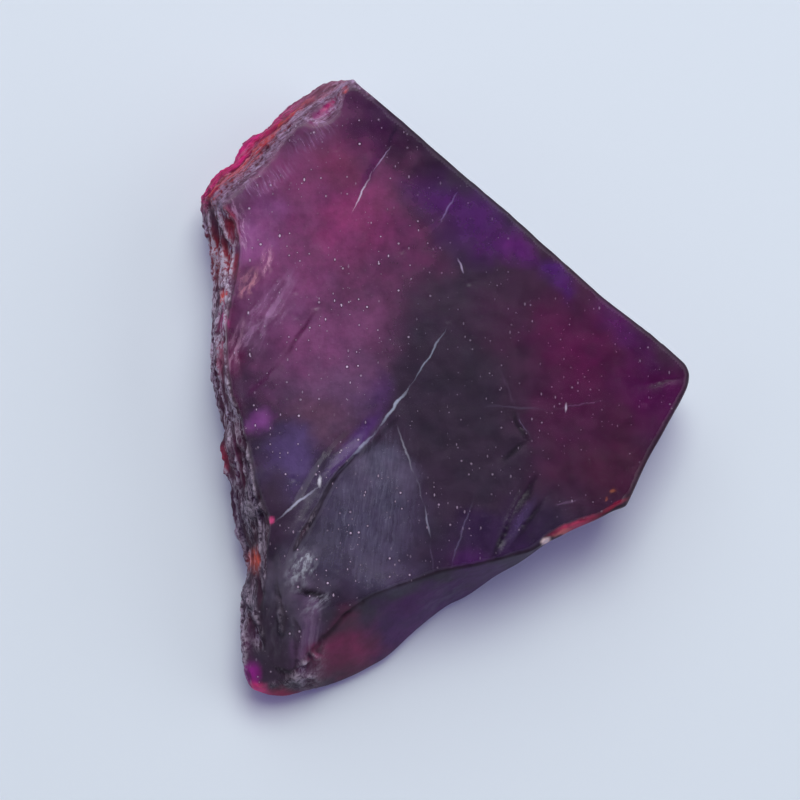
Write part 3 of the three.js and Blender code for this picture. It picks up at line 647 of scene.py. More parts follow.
class SurfaceTree:
    """The geometry tree that smooths the stone's broad facets and lays its fine relief on it."""

    NAME = "rough stone surface"
    LENGTHS = ("Crease reach", "Fibre depth", "Fibre pitch", "Layer depth", "Layer pitch",
               "Scallop depth", "Swell depth", "Pit depth", "Jag depth")
    SEED_STEP = 31.7  # distance in the noise from one seed to the next
    FACING_ROUNDS = 14
    CLOUDS: Point = (6.0, 9.0)  # size and double reach of the waves in the zones' borders
    TREMBLE: Point = (1.3, 1.2)  # and in the spots' borders
    SMOKE = (0.66, 0.84, 0.8, 1.0)  # factor on the colour in smoky patches
    SMOKE_SIZE = 5.0
    FIBRE_STRETCH = 6.5
    LAYER_STRETCH = 7.5
    FOLDS = 3.0  # ridges in each lump of the noise that makes fibres and layers
    SWELL_SIZE = 3.4
    NIBBLE_SIZE = 1.0
    JAG_SIZE = 0.85
    PIT_SPACING = 2.3

    def __init__(self, borders: Borders) -> None:
        """Builds the tree.

        Args:
            borders: Where the stone's faces and sides begin and end.
        """
        self.borders = borders
        inputs = [("Geometry", "NodeSocketGeometry", None),
                  ("Creases", "NodeSocketObject", None),
                  ("Finish", "NodeSocketMaterial", None),
                  ("Lowest corner", "NodeSocketVector", None),
                  ("Highest corner", "NodeSocketVector", None),
                  ("Front rounds", "NodeSocketInt", 1),
                  ("Side rounds", "NodeSocketInt", 1),
                  ("Seed", "NodeSocketInt", 0)]
        inputs += [(name, "NodeSocketFloat", 1.0) for name in self.LENGTHS]
        self.sheet, self.given, self.result = new_group(
            self.NAME, "GeometryNodeTree", inputs, [("Geometry", "NodeSocketGeometry")])
        self.build()

    def position(self) -> Socket:
        """Position on the surface, in metres."""
        return self.sheet.node("GeometryNodeInputPosition").outputs[0]

    def place(self) -> Socket:
        """Position on the surface, in millimetres."""
        return self.sheet.vector("SCALE", self.position(), 1 / MM)

    def normal(self) -> Socket:
        """Outward direction of the surface."""
        return self.sheet.out(self.sheet.node("GeometryNodeInputNormal"))

    def read(self, mark: Mark) -> Socket:
        """A number stored on the surface."""
        made = self.sheet.node("GeometryNodeInputNamedAttribute", data_type="FLOAT")
        return self.sheet.out(self.sheet.feed(made, Name=mark.value), "Attribute")

    def store(self, geometry: Socket, mark: Mark, value: Any, kind: str = "FLOAT") -> Socket:
        """Stores a value at each point of the surface, under a mark's name."""
        made = self.sheet.node("GeometryNodeStoreNamedAttribute", data_type=kind, domain="POINT")
        return self.sheet.feed(made, Geometry=geometry, Name=mark.value, Value=value).outputs[0]

    def moved(self, geometry: Socket, **values: Any) -> Socket:
        """Moves the points of the surface to a Position or by an Offset."""
        made = self.sheet.node("GeometryNodeSetPosition")
        return self.sheet.feed(made, Geometry=geometry, **values).outputs[0]

    def blurred(self, value: Socket, **values: Any) -> Socket:
        """Averages a vector with its neighbours', over Iterations and by Weight."""
        blur = self.sheet.node("GeometryNodeBlurAttribute", data_type="FLOAT_VECTOR")
        return self.sheet.out(self.sheet.feed(blur, Value=value, **values))

    def smoothed(self, geometry: Socket, rounds: Socket, weight: Socket) -> Socket:
        """Draws each point towards its neighbours, by weight."""
        middle = self.blurred(self.position(), Iterations=rounds, Weight=weight)
        return self.moved(geometry, Position=middle)

    def seeded(self) -> Socket:
        """The place, moved by the seed so that another seed gives another surface."""
        offset = self.sheet.math("MULTIPLY", self.given["Seed"], self.SEED_STEP)
        return self.sheet.vector("ADD", self.place(), self.sheet.joined(offset, offset, offset))

    def wavy(self, size: float, reach: float) -> Socket:
        """The seeded place, wandering by up to about reach.

        Args:
            size: Size of the waves.
            reach: How far a place wanders.

        Returns:
            The wandering place.
        """
        sheet, place = self.sheet, self.seeded()
        drift = sheet.vector("SUBTRACT", sheet.noise(place, size, colour=True), MIDDLE)
        return sheet.vector("ADD", place, sheet.vector("SCALE", drift, 2 * reach))

    def crease_distance(self) -> Socket:
        """Measures how far each point is from the nearest crease.

        Returns:
            The distance in millimetres.
        """
        info = self.sheet.node("GeometryNodeObjectInfo", transform_space="RELATIVE")
        self.sheet.feed(info, Object=self.given["Creases"])
        near = self.sheet.node("GeometryNodeProximity", target_element="EDGES")
        self.sheet.plug(near.inputs[0], info.outputs["Geometry"])
        return self.sheet.math("DIVIDE", near.outputs["Distance"], MM)

    def masks(self, geometry: Socket) -> Socket:
        """Stores which face or side each point belongs to.

        Args:
            geometry: The surface.

        Returns:
            The surface with its marks.
        """
        sheet, at = self.sheet, self.borders
        facing = self.blurred(self.normal(), Iterations=self.FACING_ROUNDS)
        _, _, up = sheet.parts(sheet.vector("NORMALIZE", facing))
        x, y, _ = sheet.parts(self.place())
        front = sheet.ramp(up, *at.front)
        side = sheet.product(sheet.rest(front), sheet.ramp(up, *at.back))
        low = sheet.fall(sheet.math("MULTIPLY_ADD", x, at.corner_lean, y), *at.corner)
        left = sheet.product(side, low, sheet.fall(x, *at.left), sheet.ramp(y, *at.toe))
        layered = sheet.product(side, sheet.rest(low), sheet.fall(x, *at.apex))
        geometry = self.store(geometry, Mark.FRONT, front)
        geometry = self.store(geometry, Mark.SLOPE, sheet.fall(up, *at.slope))
        geometry = self.store(geometry, Mark.LEFT, left)
        return self.store(geometry, Mark.LAYERED, layered)

    def tint(self, geometry: Socket) -> Socket:
        """Stores the colour of the zones and spots, a painted sheen and painted shade among them.

        Args:
            geometry: The surface.

        Returns:
            The tinted surface.
        """
        sheet, patchwork = self.sheet, Patchwork(self.sheet, "GeometryNodeTree")
        clouded = patchwork.stirred(self.place(), self.CLOUDS)
        trembling = patchwork.stirred(self.place(), self.TREMBLE)
        colour = patchwork.covered(clouded, linear(HEART), ZONES)
        colour = patchwork.covered(trembling, colour, SPOTS)
        smoke = sheet.ramp(sheet.noise(self.place(), self.SMOKE_SIZE, 4.0, 0.6), 0.44, 0.62, 0.0,
                           0.5)
        colour = sheet.mix(smoke, colour, self.SMOKE, "MULTIPLY")
        return self.store(geometry, Mark.TINT, colour, "FLOAT_COLOR")

    def ridges(self, place: Socket, coarse: float, fine: float, share: float) -> Socket:
        """Folds noise into ridges of two widths.

        Args:
            place: Coordinates in units of the pitch.
            coarse: Size of the lumps behind the broad ridges.
            fine: Size of the lumps behind the narrow ones.
            share: Share of the narrow ridges.

        Returns:
            The ridges, from 0 to 1.
        """
        sheet = self.sheet
        broad, narrow = (sheet.folded(sheet.noise(place, size, 0.0), self.FOLDS)
                         for size in (coarse, fine))
        return sheet.math("MULTIPLY_ADD", narrow, share, sheet.math("MULTIPLY", broad, 1 - share))

    def fibres(self) -> Socket:
        """Makes the wavy ridges that run along the left side.

        Returns:
            Their height, from 0 to 1.
        """
        pitch = self.given["Fibre pitch"]
        length = self.sheet.math("MULTIPLY", pitch, self.FIBRE_STRETCH)
        unit = self.sheet.joined(pitch, length, pitch)
        return self.ridges(self.sheet.vector("DIVIDE", self.wavy(5.0, 0.9), unit), 2.4, 1.5, 0.3)

    def layers(self) -> Socket:
        """Makes the thin leaves that run along the layered side.

        Returns:
            Their height, from 0 to 1.
        """
        pitch = self.given["Layer pitch"]
        along = self.sheet.leafwise(self.wavy(4.0, 0.45), self.LAYER_STRETCH)
        unit = self.sheet.joined(pitch, pitch, pitch)
        return self.ridges(self.sheet.vector("DIVIDE", along, unit), 2.8, 1.6, 0.35)

    def pits(self) -> Socket:
        """Makes the sparse round pits of the front face.

        Returns:
            Their depth, from 0 to 1.
        """
        sheet = self.sheet
        cells = sheet.node("ShaderNodeTexVoronoi", feature="F1")
        sheet.feed(cells, Vector=self.seeded(), Scale=1 / self.PIT_SPACING)
        wanted = sheet.ramp(sheet.parts(cells.outputs["Color"])[0], 0.5, 0.95)
        return sheet.product(sheet.fall(cells.outputs["Distance"], 0.03, 0.17), wanted)

    def relief(self) -> Socket:
        """Adds up the fine relief over the smoothed surface.

        Returns:
            Its height in millimetres.
        """
        sheet, given, place = self.sheet, self.given, self.seeded()
        front, left, layered = (self.read(m) for m in (Mark.FRONT, Mark.LEFT, Mark.LAYERED))
        crease = self.read(Mark.CREASE)

        def centred(height: Socket) -> Socket:
            """A height from 0 to 1, as one from -0.5 to 0.5."""
            return sheet.math("SUBTRACT", height, 0.5)

        fibre = sheet.product(centred(self.fibres()), left, given["Fibre depth"], 2.0)
        layer = sheet.product(centred(self.layers()), layered, given["Layer depth"], 2.0)
        swell = sheet.product(centred(sheet.noise(place, self.SWELL_SIZE, 1.0)),
                              given["Swell depth"], 2.0, sheet.ramp(crease, 0.0, 0.7))
        broken = sheet.math("MAXIMUM", left, layered)
        jag = sheet.product(centred(sheet.noise(place, self.JAG_SIZE, 2.0, 0.6)), broken,
                            given["Jag depth"], 4.0)
        nibble = sheet.ramp(sheet.noise(place, self.NIBBLE_SIZE), 0.5, 0.72)
        turning = sheet.product(front, sheet.rest(front), 4.0)
        scallop = sheet.product(nibble, sheet.fall(crease, 0.15, 0.75), sheet.rest(broken),
                                turning, given["Scallop depth"], -1.0)
        pit = sheet.product(self.pits(), front, given["Pit depth"], -1.0)
        return sheet.total(fibre, layer, jag, swell, scallop, pit)

    def build(self) -> None:
        """Lays out the whole tree: mark, tint, smooth, raise, keep inside the box, finish."""
        sheet, given = self.sheet, self.given
        geometry = self.store(given["Geometry"], Mark.CREASE, self.crease_distance())
        geometry = self.tint(self.masks(geometry))
        clear = sheet.ramp(self.read(Mark.CREASE), 0.2, given["Crease reach"])
        broad = sheet.product(clear, self.read(Mark.FRONT))
        geometry = self.smoothed(geometry, given["Front rounds"], broad)
        near = sheet.ramp(self.read(Mark.CREASE), 0.1, 0.5, 0.42, 0.85)
        geometry = self.smoothed(geometry, given["Side rounds"], near)
        geometry = self.store(geometry, Mark.RELIEF, self.relief())
        height = sheet.math("MULTIPLY", self.read(Mark.RELIEF), MM)
        geometry = self.moved(geometry, Offset=sheet.vector("SCALE", self.normal(), height))
        inside = sheet.vector("MINIMUM", self.position(), given["Highest corner"])
        inside = sheet.vector("MAXIMUM", inside, given["Lowest corner"])
        geometry = self.moved(geometry, Position=inside)
        smooth = sheet.feed(sheet.node("GeometryNodeSetShadeSmooth"), Geometry=geometry)
        whole = sheet.feed(sheet.node("GeometryNodeRealizeInstances"), Geometry=smooth.outputs[0])
        dressed = sheet.node("GeometryNodeSetMaterial")
        sheet.feed(dressed, Geometry=whole.outputs[0], Material=given["Finish"])
        sheet.plug(self.result.inputs[0], dressed.outputs[0])

    def fit(self, modifier: bpy.types.NodesModifier, values: dict[str, Any]) -> None:
        """Puts the tree on a modifier and sets its inputs.

        Args:
            modifier: The Geometry Nodes modifier.
            values: Values by the name of the input; other names are passed over.
        """
        modifier.node_group = self.sheet.tree
        for item in self.sheet.tree.interface.items_tree:
            if item.item_type == "SOCKET" and item.in_out == "INPUT" and item.name in values:
                modifier[item.identifier] = values[item.name]


@dataclass(frozen=True)
class RoughStone:
    """The stone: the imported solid's form with a fine natural surface."""

    node: str = "stone"
    body: str = "root"
    name: str = "sapphire_slab"
    relief: Relief = Relief()
    borders: Borders = Borders()
    merge_metres: float = 1e-6  # doubles of the solid's points are this close
    front_up: float = 0.8  # least share of straight up in a face of the front
    back_up: float = -0.9  # and the most in a face of the back
    skin: float = 0.15  # height above the table that is drawn flat
    skin_up: float = -0.7  # most share of straight up in a face that is drawn flat

    def solid(self) -> bpy.types.Mesh:
        """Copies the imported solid's mesh and merges its doubles.

        Returns:
            The merged mesh.
        """
        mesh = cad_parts[self.node].data.copy()
        loose = bmesh.new()
        loose.from_mesh(mesh)
        bmesh.ops.remove_doubles(loose, verts=loose.verts, dist=self.merge_metres)
        loose.to_mesh(mesh)
        loose.free()
        return mesh

    def creases(self, mesh: bpy.types.Mesh) -> bpy.types.Object:
        """Finds the edges to keep sharp: the marks and rim of the front, and the back's rim.

        Args:
            mesh: The merged solid.

        Returns:
            A helper object that holds only those edges.
        """
        solid = bmesh.new()
        solid.from_mesh(mesh)
        limit = math.radians(self.relief.crease_angle)
        kept = []
        for edge in solid.edges:
            ups = [face.normal.z for face in edge.link_faces]
            broad = max(ups) > self.front_up or min(ups) < self.back_up
            if broad and edge.calc_face_angle(0.0) > limit:
                kept += [vert.co.copy() for vert in edge.verts]
        solid.free()
        lines = bpy.data.meshes.new("creases")
        lines.from_pydata(kept, [(i, i + 1) for i in range(0, len(kept), 2)], [])
        helper = bpy.data.objects.new("creases", lines)
        bpy.context.scene.collection.objects.link(helper)
        return helper

    def surface(self, mesh: bpy.types.Mesh, finish: bpy.types.Material) -> bpy.types.Mesh:
        """Runs the surface tree on the solid.

        Args:
            mesh: The merged solid.
            finish: The stone's material.

        Returns:
            The fine mesh, with its marks as attributes.
        """
        helper = self.creases(mesh)
        draft = bpy.data.objects.new("draft", mesh)
        bpy.context.scene.collection.objects.link(draft)
        grid = draft.modifiers.new("grid", "REMESH")
        grid.mode = "VOXEL"
        grid.voxel_size = self.relief.voxel * MM
        lowest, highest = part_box(self.node)
        sizes = {name.capitalize().replace("_", " "): size
                 for name, size in asdict(self.relief).items()}
        SurfaceTree(self.borders).fit(draft.modifiers.new("surface", "NODES"), {
            "Creases": helper, "Finish": finish, "Lowest corner": tuple(lowest),
            "Highest corner": tuple(highest), **sizes})
        evaluated = draft.evaluated_get(bpy.context.evaluated_depsgraph_get())
        fine = bpy.data.meshes.new_from_object(evaluated)
        for scrap in (draft, helper):
            bpy.data.objects.remove(scrap)
        return fine

    def flatten_back(self, mesh: bpy.types.Mesh) -> None:
        """Draws the back down onto the table and fills it with a few large faces.

        Args:
            mesh: The fine mesh, which is changed.
        """
        fine = bmesh.new()
        fine.from_mesh(mesh)
        flat = {face for face in fine.faces if face.normal.z < self.skin_up
                and all(vert.co.z < self.skin * MM for vert in face.verts)}
        for vert in {vert for face in flat for vert in face.verts}:
            vert.co.z = 0.0
        bmesh.ops.delete(fine, geom=list(flat), context="FACES")
        rim = [edge for edge in fine.edges if edge.is_boundary]
        bmesh.ops.triangle_fill(fine, use_beauty=False, edges=rim, normal=(0.0, 0.0, -1.0))
        fine.to_mesh(mesh)
        fine.free()

    def make(self, finish: bpy.types.Material) -> bpy.types.Object:
        """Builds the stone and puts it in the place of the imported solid.

        Args:
            finish: The stone's material.

        Returns:
            The finished piece.
        """
        fine = self.surface(self.solid(), finish)
        self.flatten_back(fine)
        fine.materials.clear()
        fine.materials.append(finish)
        piece = bpy.data.objects.new(self.name, fine)
        bpy.context.scene.collection.objects.link(piece)
        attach(piece, self.body)
        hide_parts(self.node)
        return piece


# --- Finish -------------------------------------------------------------------------------------


@dataclass(frozen=True)
class Glints:
    """Painted glints of one kind, at most one in each cell of the front face."""

    spacing: float
    size: float
    bare: float  # share of the cells without a chip
    stretch: float = 1.0  # length of a cell along Y over its width


@dataclass(frozen=True)
class SideShades:
    """Colours of the splintered and the layered side."""

    # Dark red of the low relief, partly the side's own colour and partly painted shade.
    hollow: Shade = (70, 26, 44)
    underside: Shade = (62, 18, 48)
    splinter: Shade = (192, 174, 194)
    leaves: tuple[tuple[float, Shade], ...] = (  # from the lowest to the highest
        (0.35, (186, 22, 118)), (0.55, (206, 28, 116)), (0.66, (146, 20, 62)),
        (0.73, (190, 52, 48)), (0.79, (104, 22, 46)), (0.87, (112, 66, 92)),
        (0.98, (84, 62, 84)))
    # Dark red between the leaves, partly their own colour and partly painted shade.
    leaf_hollow: Shade = (70, 12, 36)
    leaf_apex: Shade = (110, 76, 100)
    leaf_edge: Shade = (190, 156, 188)
    leaf_frost: Shade = (176, 148, 184)
    leaf_gap: Shade = (60, 6, 30)


@dataclass(frozen=True)
class Spans:
    """Where parts of the finish come in or go: heights, unless a comment says otherwise."""

    underside: Point = (3.6, 7.0)
    pale_fibres: Point = (-16.0, 6.0)  # along Y
    lip_across: Point = (27.0, 28.6)  # across the leaves, from the origin
    lip: Point = (7.5, 9.5)
    leaves: Point = (2.5, 18.5)
    leaf_apex: Point = (26.5, 31.5)  # along Y
    leaf_edge: Point = (6.0, 12.0)
    leaf_frost: Point = (8.6, 11.6)
    rim_across: Point = (26.0, 28.5)  # across the leaves, where the dark rim ends
    edge_spots: Point = (8.2, 9.8)
    few_chips: Point = (-8.0, 4.0)  # along X


@dataclass(frozen=True)
class SapphireFinish:
    """Dark translucent crystal: satin broken faces, frosted fibres, zones of violet and wine."""

    refraction: float = 1.77
    clearness: float = 0.4
    absorption: Light = (0.5, 0.06, 0.7)
    density: float = 150.0  # per metre
    lamp_share: Light = (0.3, 0.16, 0.5)  # light that lamps send through each face
    shine: float = 0.3  # of the mirror reflection, where 0.5 is that of the refraction alone
    satin: float = 0.19  # roughness of the front face
    frost: float = 0.5  # and of its frosted marks
    edge: float = 0.8  # and of the rim, the bevel and the long side
    splintered: float = 0.8  # and of the splintered and layered sides
    colour_gain: float = 1.62
    tremble: Point = (1.6, 0.7)  # size and double reach of the waves in the borders of marks
    # Painted shade along the front face's rim and creases.
    rim: Shade = (30, 8, 28)
    # The next three: painted shade round each glint, the painted glints' colour, and their kinds.
    pit: Shade = (36, 16, 38)
    chip: Shade = (212, 186, 214)
    chips: tuple[Glints, ...] = (Glints(1.05, 0.084, 0.46), Glints(0.8, 0.084, 0.58, 2.0),
                                Glints(3.1, 0.028, 0.5))
    shades: SideShades = SideShades()
    spans: Spans = Spans()
    fibre_stretch: float = 5.0
    leaf_stretch: float = 9.0
    peel: float = 0.03  # bump heights, in millimetres
    grit: float = 0.012
    fleck: float = 0.02
    thread: float = 0.34

    def make(self) -> bpy.types.Material:
        """Builds the material.

        Returns:
            The material.
        """
        material = bpy.data.materials.new("rough sapphire")
        material.use_nodes = True
        sheet = Sheet(material.node_tree)
        sheet.tree.nodes.clear()
        colour, rough, height = self.surface(sheet)
        bump = sheet.feed(sheet.node("ShaderNodeBump"), Strength=1.0, Distance=MM, Height=height)
        body = sheet.node("ShaderNodeBsdfPrincipled")
        sheet.feed(body, Base_Color=colour, Roughness=rough, IOR=self.refraction,
                   Specular_IOR_Level=self.shine, Transmission_Weight=self.clearness,
                   Normal=bump.outputs[0])
        window = sheet.feed(sheet.node("ShaderNodeBsdfTransparent"), Color=(*self.lamp_share, 1.0))
        path = sheet.node("ShaderNodeLightPath")
        surface = sheet.node("ShaderNodeMixShader")
        for socket, value in zip(surface.inputs, (path.outputs["Is Shadow Ray"], body.outputs[0],
                                                  window.outputs[0])):
            sheet.plug(socket, value)
        inside = sheet.feed(sheet.node("ShaderNodeVolumeAbsorption"),
                            Color=(*self.absorption, 1.0), Density=self.density)
        sheet.feed(sheet.node("ShaderNodeOutputMaterial"), Surface=surface.outputs[0],
                   Volume=inside.outputs[0])
        return material

    @staticmethod
    def mark(sheet: Sheet, mark: Mark) -> Socket:
        """Reads a number that the surface carries."""
        return sheet.node("ShaderNodeAttribute", attribute_name=mark.value).outputs["Fac"]

    def surface(self, sheet: Sheet) -> tuple[Socket, Socket, Socket]:
        """Lays out everything that changes over the surface.

        Args:
            sheet: The material's sheet.

        Returns:
            Colour, roughness, and bump height in millimetres.
        """
        place = sheet.vector("SCALE", sheet.node("ShaderNodeTexCoord").outputs["Object"], 1 / MM)
        plan = sheet.vector("MULTIPLY", place, IN_PLAN)
        patchwork = Patchwork(sheet, "ShaderNodeTree")
        trembling = patchwork.stirred(place, self.tremble)
        colour = sheet.node("ShaderNodeAttribute", attribute_name=Mark.TINT.value).outputs["Color"]
        colour, frost = self.marked(patchwork, trembling, colour)
        colour, sides = self.sided(sheet, place, colour)
        off_side = sheet.rest(sides)
        edge = sheet.math("MULTIPLY", self.mark(sheet, Mark.SLOPE), off_side)
        colour = self.rimmed(patchwork, place, trembling, colour, off_side)
        colour = self.chipped(sheet, plan, colour)
        mottle = sheet.ramp(sheet.noise(place, 1.6, 4.0, 0.65), 0.3, 0.7, 0.84, 1.18)
        gain = sheet.math("MULTIPLY", mottle, self.colour_gain)
        cloudy = sheet.ramp(sheet.noise(place, 2.2, 5.0, 0.7), 0.35, 0.7, -0.03, 0.08)
        rough = sheet.blend(edge, sheet.blend(frost, self.satin, self.frost), self.edge)
        rough = sheet.math("ADD", sheet.blend(sides, rough, self.splintered), cloudy)
        return sheet.vector("SCALE", colour, gain), rough, self.height(sheet, place)

    @staticmethod
    def marked(patchwork: Patchwork, plan: Socket, colour: Socket) -> tuple[Socket, Socket]:
        """Lays the lines and the streaked veils over the colour, painted highlights, shade and a
        reflection among them.

        Args:
            patchwork: The material's patchwork.
            plan: Coordinates in plan.
            colour: The colour so far.

        Returns:
            The new colour, and how frosted each place is.
        """
        sheet = patchwork.sheet
        frost: Any = 0.0
        for line in LINES:
            share = patchwork.placed(patchwork.zones, plan, line.zone())
            colour = sheet.paint(share, colour, line.colour)
            if line.frosted:
                frost = sheet.math("MAXIMUM", frost, share)
        streaks = patchwork.veils()
        for veil in VEILS:
            along, across = veil.radii
            count = (along / (veil.stretch * veil.streak), across / veil.streak, 0.0)
            share = patchwork.placed(streaks, plan, veil, Streaks=count)
            colour = sheet.paint(share, colour, veil.colour)
            frost = sheet.math("MAXIMUM", frost, share)
        return colour, frost

    def sided(self, sheet: Sheet, place: Socket, colour: Socket) -> tuple[Socket, Socket]:
        """Colours the splintered left side and the layered upper side.

        Args:
            sheet: The material's sheet.
            place: Coordinates in millimetres.
            colour: The colour so far.

        Returns:
            The new colour, and where the splintered and layered sides are.
        """
        left = self.mark(sheet, Mark.LEFT)
        grain = sheet.ramp(sheet.noise(place, 0.5, 3.0, 0.7), 0.38, 0.62)
        colour = sheet.mix(left, colour, self.splinters(sheet, place, grain, colour))
        along = sheet.leafwise(place, self.leaf_stretch)
        crumbs = sheet.ramp(sheet.noise(place, 0.7, 3.0, 0.7), 0.36, 0.56)
        lip = sheet.product(self.mark(sheet, Mark.SLOPE), crumbs,
                            sheet.ramp(sheet.parts(along)[1], *self.spans.lip_across),
                            sheet.ramp(sheet.parts(place)[2], *self.spans.lip), 0.85)
        layered = sheet.math("MAXIMUM", self.mark(sheet, Mark.LAYERED), lip)
        colour = sheet.mix(layered, colour, self.leaves(sheet, place, along, grain))
        return colour, sheet.math("MAXIMUM", left, layered)

    def splinters(self, sheet: Sheet, place: Socket, grain: Socket, colour: Socket) -> Socket:
        """Makes the colour of the splintered side: pale fibres over hollows with painted shade.

        Args:
            sheet: The material's sheet.
            place: Coordinates in millimetres.
            grain: Fine grain that breaks the pale crests.
            colour: The colour below the fibres.

        Returns:
            The side's colour.
        """
        _, y, z = sheet.parts(place)
        relief = self.mark(sheet, Mark.RELIEF)
        patchy = sheet.ramp(sheet.noise(place, 3.2, 3.0), 0.28, 0.54)
        fibres = self.threads(sheet, sheet.vector("DIVIDE", place, (1.0, self.fibre_stretch, 1.0)))
        crest = sheet.product(sheet.ramp(relief, -0.05, 0.22), patchy, grain, 0.9)
        pale = sheet.math("MAXIMUM", crest, sheet.math("MULTIPLY", fibres, 0.7))
        # Painted shade where the relief is low.
        sunk_with_shade = sheet.paint(sheet.ramp(relief, -0.2, 0.1, 0.5, 0.05), colour, self.shades.hollow)
        wander = sheet.math("MULTIPLY_ADD", sheet.noise(place, 2.0), 4.0, z)
        sunk_with_shade = sheet.paint(sheet.fall(wander, *self.spans.underside), sunk_with_shade, self.shades.underside)
        bright = sheet.ramp(y, *self.spans.pale_fibres, 0.9, 1.65)
        return sheet.paint(sheet.math("MULTIPLY", pale, bright), sunk_with_shade, self.shades.splinter)

    def leaves(self, sheet: Sheet, place: Socket, along: Socket, grain: Socket) -> Socket:
        """Makes the colour of the layered side: bands by height, with pale and dark threads.

        Args:
            sheet: The material's sheet.
            place: Coordinates in millimetres.
            along: Coordinates stretched along the leaves.
            grain: Fine grain of the frosted upper leaves.

        Returns:
            The side's colour.
        """
        _, y, z = sheet.parts(place)
        shades, spans = self.shades, self.spans
        ragged = sheet.math("MULTIPLY_ADD", sheet.noise(along, 0.7, 5.0, 0.7), 9.0, z)
        band = sheet.node("ShaderNodeValToRGB")
        sheet.plug(band.inputs[0], sheet.ramp(ragged, *spans.leaves, smooth=False))
        stops = band.color_ramp.elements
        stops.remove(stops[1])
        (stops[0].position, lowest), *others = shades.leaves
        stops[0].color = linear(lowest)
        for position, shade in others:
            stops.new(position).color = linear(shade)
        # Painted shade where the relief between the leaves is low.
        hollow = sheet.fall(self.mark(sheet, Mark.RELIEF), -0.16, 0.04, 0.7)
        colour = sheet.paint(hollow, band.outputs[0], shades.leaf_hollow)
        colour = sheet.paint(sheet.ramp(y, *spans.leaf_apex, 0.0, 0.75), colour, shades.leaf_apex)
        high = sheet.ramp(z, *spans.leaf_edge, 0.3, 0.8)
        pale = sheet.product(self.threads(sheet, along), high)
        colour = sheet.paint(pale, colour, shades.leaf_edge)
        frosted = sheet.product(grain, sheet.ramp(z, *spans.leaf_frost), 0.75)
        colour = sheet.paint(frosted, colour, shades.leaf_frost)
        gaps = self.threads(sheet, sheet.vector("SCALE", along, 0.8))
        return sheet.paint(sheet.math("MULTIPLY", gaps, 0.8), colour, shades.leaf_gap)

    @staticmethod
    def threads(sheet: Sheet, place: Socket) -> Socket:
        """Makes thin broken lines that follow the long direction of stretched coordinates.

        Args:
            sheet: The material's sheet.
            place: Stretched coordinates.

        Returns:
            The lines' mask.
        """
        broad = sheet.fall(sheet.folded(sheet.noise(place, 0.9, 3.0), 5.0), 0.0, 0.42)
        fine = sheet.fall(sheet.folded(sheet.noise(place, 0.45), 5.0), 0.0, 0.5, 0.7)
        broken = sheet.ramp(sheet.noise(place, 1.4), 0.42, 0.6)
        return sheet.product(sheet.math("MAXIMUM", broad, fine), broken)

    def rimmed(self, patchwork: Patchwork, place: Socket, plan: Socket, colour: Socket,
               off_side: Socket) -> Socket:
        """Paints shade along the rim of the front face and near its creases, and lays the edge
        spots on its upper part.

        Args:
            patchwork: The material's patchwork.
            place: Coordinates in millimetres.
            plan: Coordinates in plan.
            colour: The colour so far.
            off_side: Where neither the splintered nor the layered side is.

        Returns:
            The new colour.
        """
        sheet = patchwork.sheet
        across = sheet.parts(sheet.leafwise(place))[1]
        # Painted shade near the creases and where the front face turns down, less towards the
        # layered side.
        rim = sheet.product(sheet.fall(self.mark(sheet, Mark.CREASE), 0.1, 0.7),
                            sheet.fall(self.mark(sheet, Mark.FRONT), 0.8, 0.99), off_side,
                            sheet.ramp(across, *self.spans.rim_across, 1.0, 0.2))
        colour = sheet.paint(sheet.math("MULTIPLY", rim, 0.75), colour, self.rim)
        level = sheet.math("MULTIPLY_ADD", sheet.noise(place, 1.2), 3.0, sheet.parts(place)[2])
        spotted = patchwork.covered(plan, colour, EDGE_SPOTS)
        return sheet.mix(sheet.ramp(level, *self.spans.edge_spots), colour, spotted)

    def chipped(self, sheet: Sheet, plan: Socket, colour: Socket) -> Socket:
        """Scatters tiny painted glints over the front face, each in a ring of painted shade like a
        small pit.

        Args:
            sheet: The material's sheet.
            plan: Coordinates in plan.
            colour: The colour so far.

        Returns:
            The new colour.
        """
        thick = sheet.ramp(sheet.noise(plan, 4.0, 3.0), 0.42, 0.6, 0.06, 1.0)
        plum = sheet.ramp(sheet.parts(plan)[0], *self.spans.few_chips, 1.0, 0.32)
        amount = sheet.product(thick, plum, self.mark(sheet, Mark.FRONT))
        bright: Any = 0.0
        dark: Any = 0.0
        for chips in self.chips:
            cells = sheet.node("ShaderNodeTexVoronoi", feature="F1", voronoi_dimensions="2D")
            sheet.feed(cells, Vector=sheet.vector("DIVIDE", plan, (1.0, chips.stretch, 1.0)),
                       Scale=1 / chips.spacing)
            chance, _, size = sheet.parts(cells.outputs["Color"])
            reach = sheet.math("MULTIPLY_ADD", sheet.math("POWER", size, 3.0), chips.size,
                               chips.size / 2)
            away = sheet.math("DIVIDE", cells.outputs["Distance"], reach)
            shown = sheet.product(sheet.ramp(chance, chips.bare, chips.bare + 0.05),
                                  sheet.ramp(size, 0.0, 1.0, 0.2, 1.0))
            chip = sheet.product(sheet.fall(away, 0.5, 1.2), shown)
            pit = sheet.product(sheet.fall(away, 0.9, 2.4), shown)
            bright = sheet.math("MAXIMUM", bright, chip)
            dark = sheet.math("MAXIMUM", dark, pit)
        # Painted shade round each glint, then the painted glint itself.
        colour = sheet.paint(sheet.product(dark, amount, 0.6), colour, self.pit)
        return sheet.paint(sheet.product(bright, amount, 0.9), colour, self.chip)

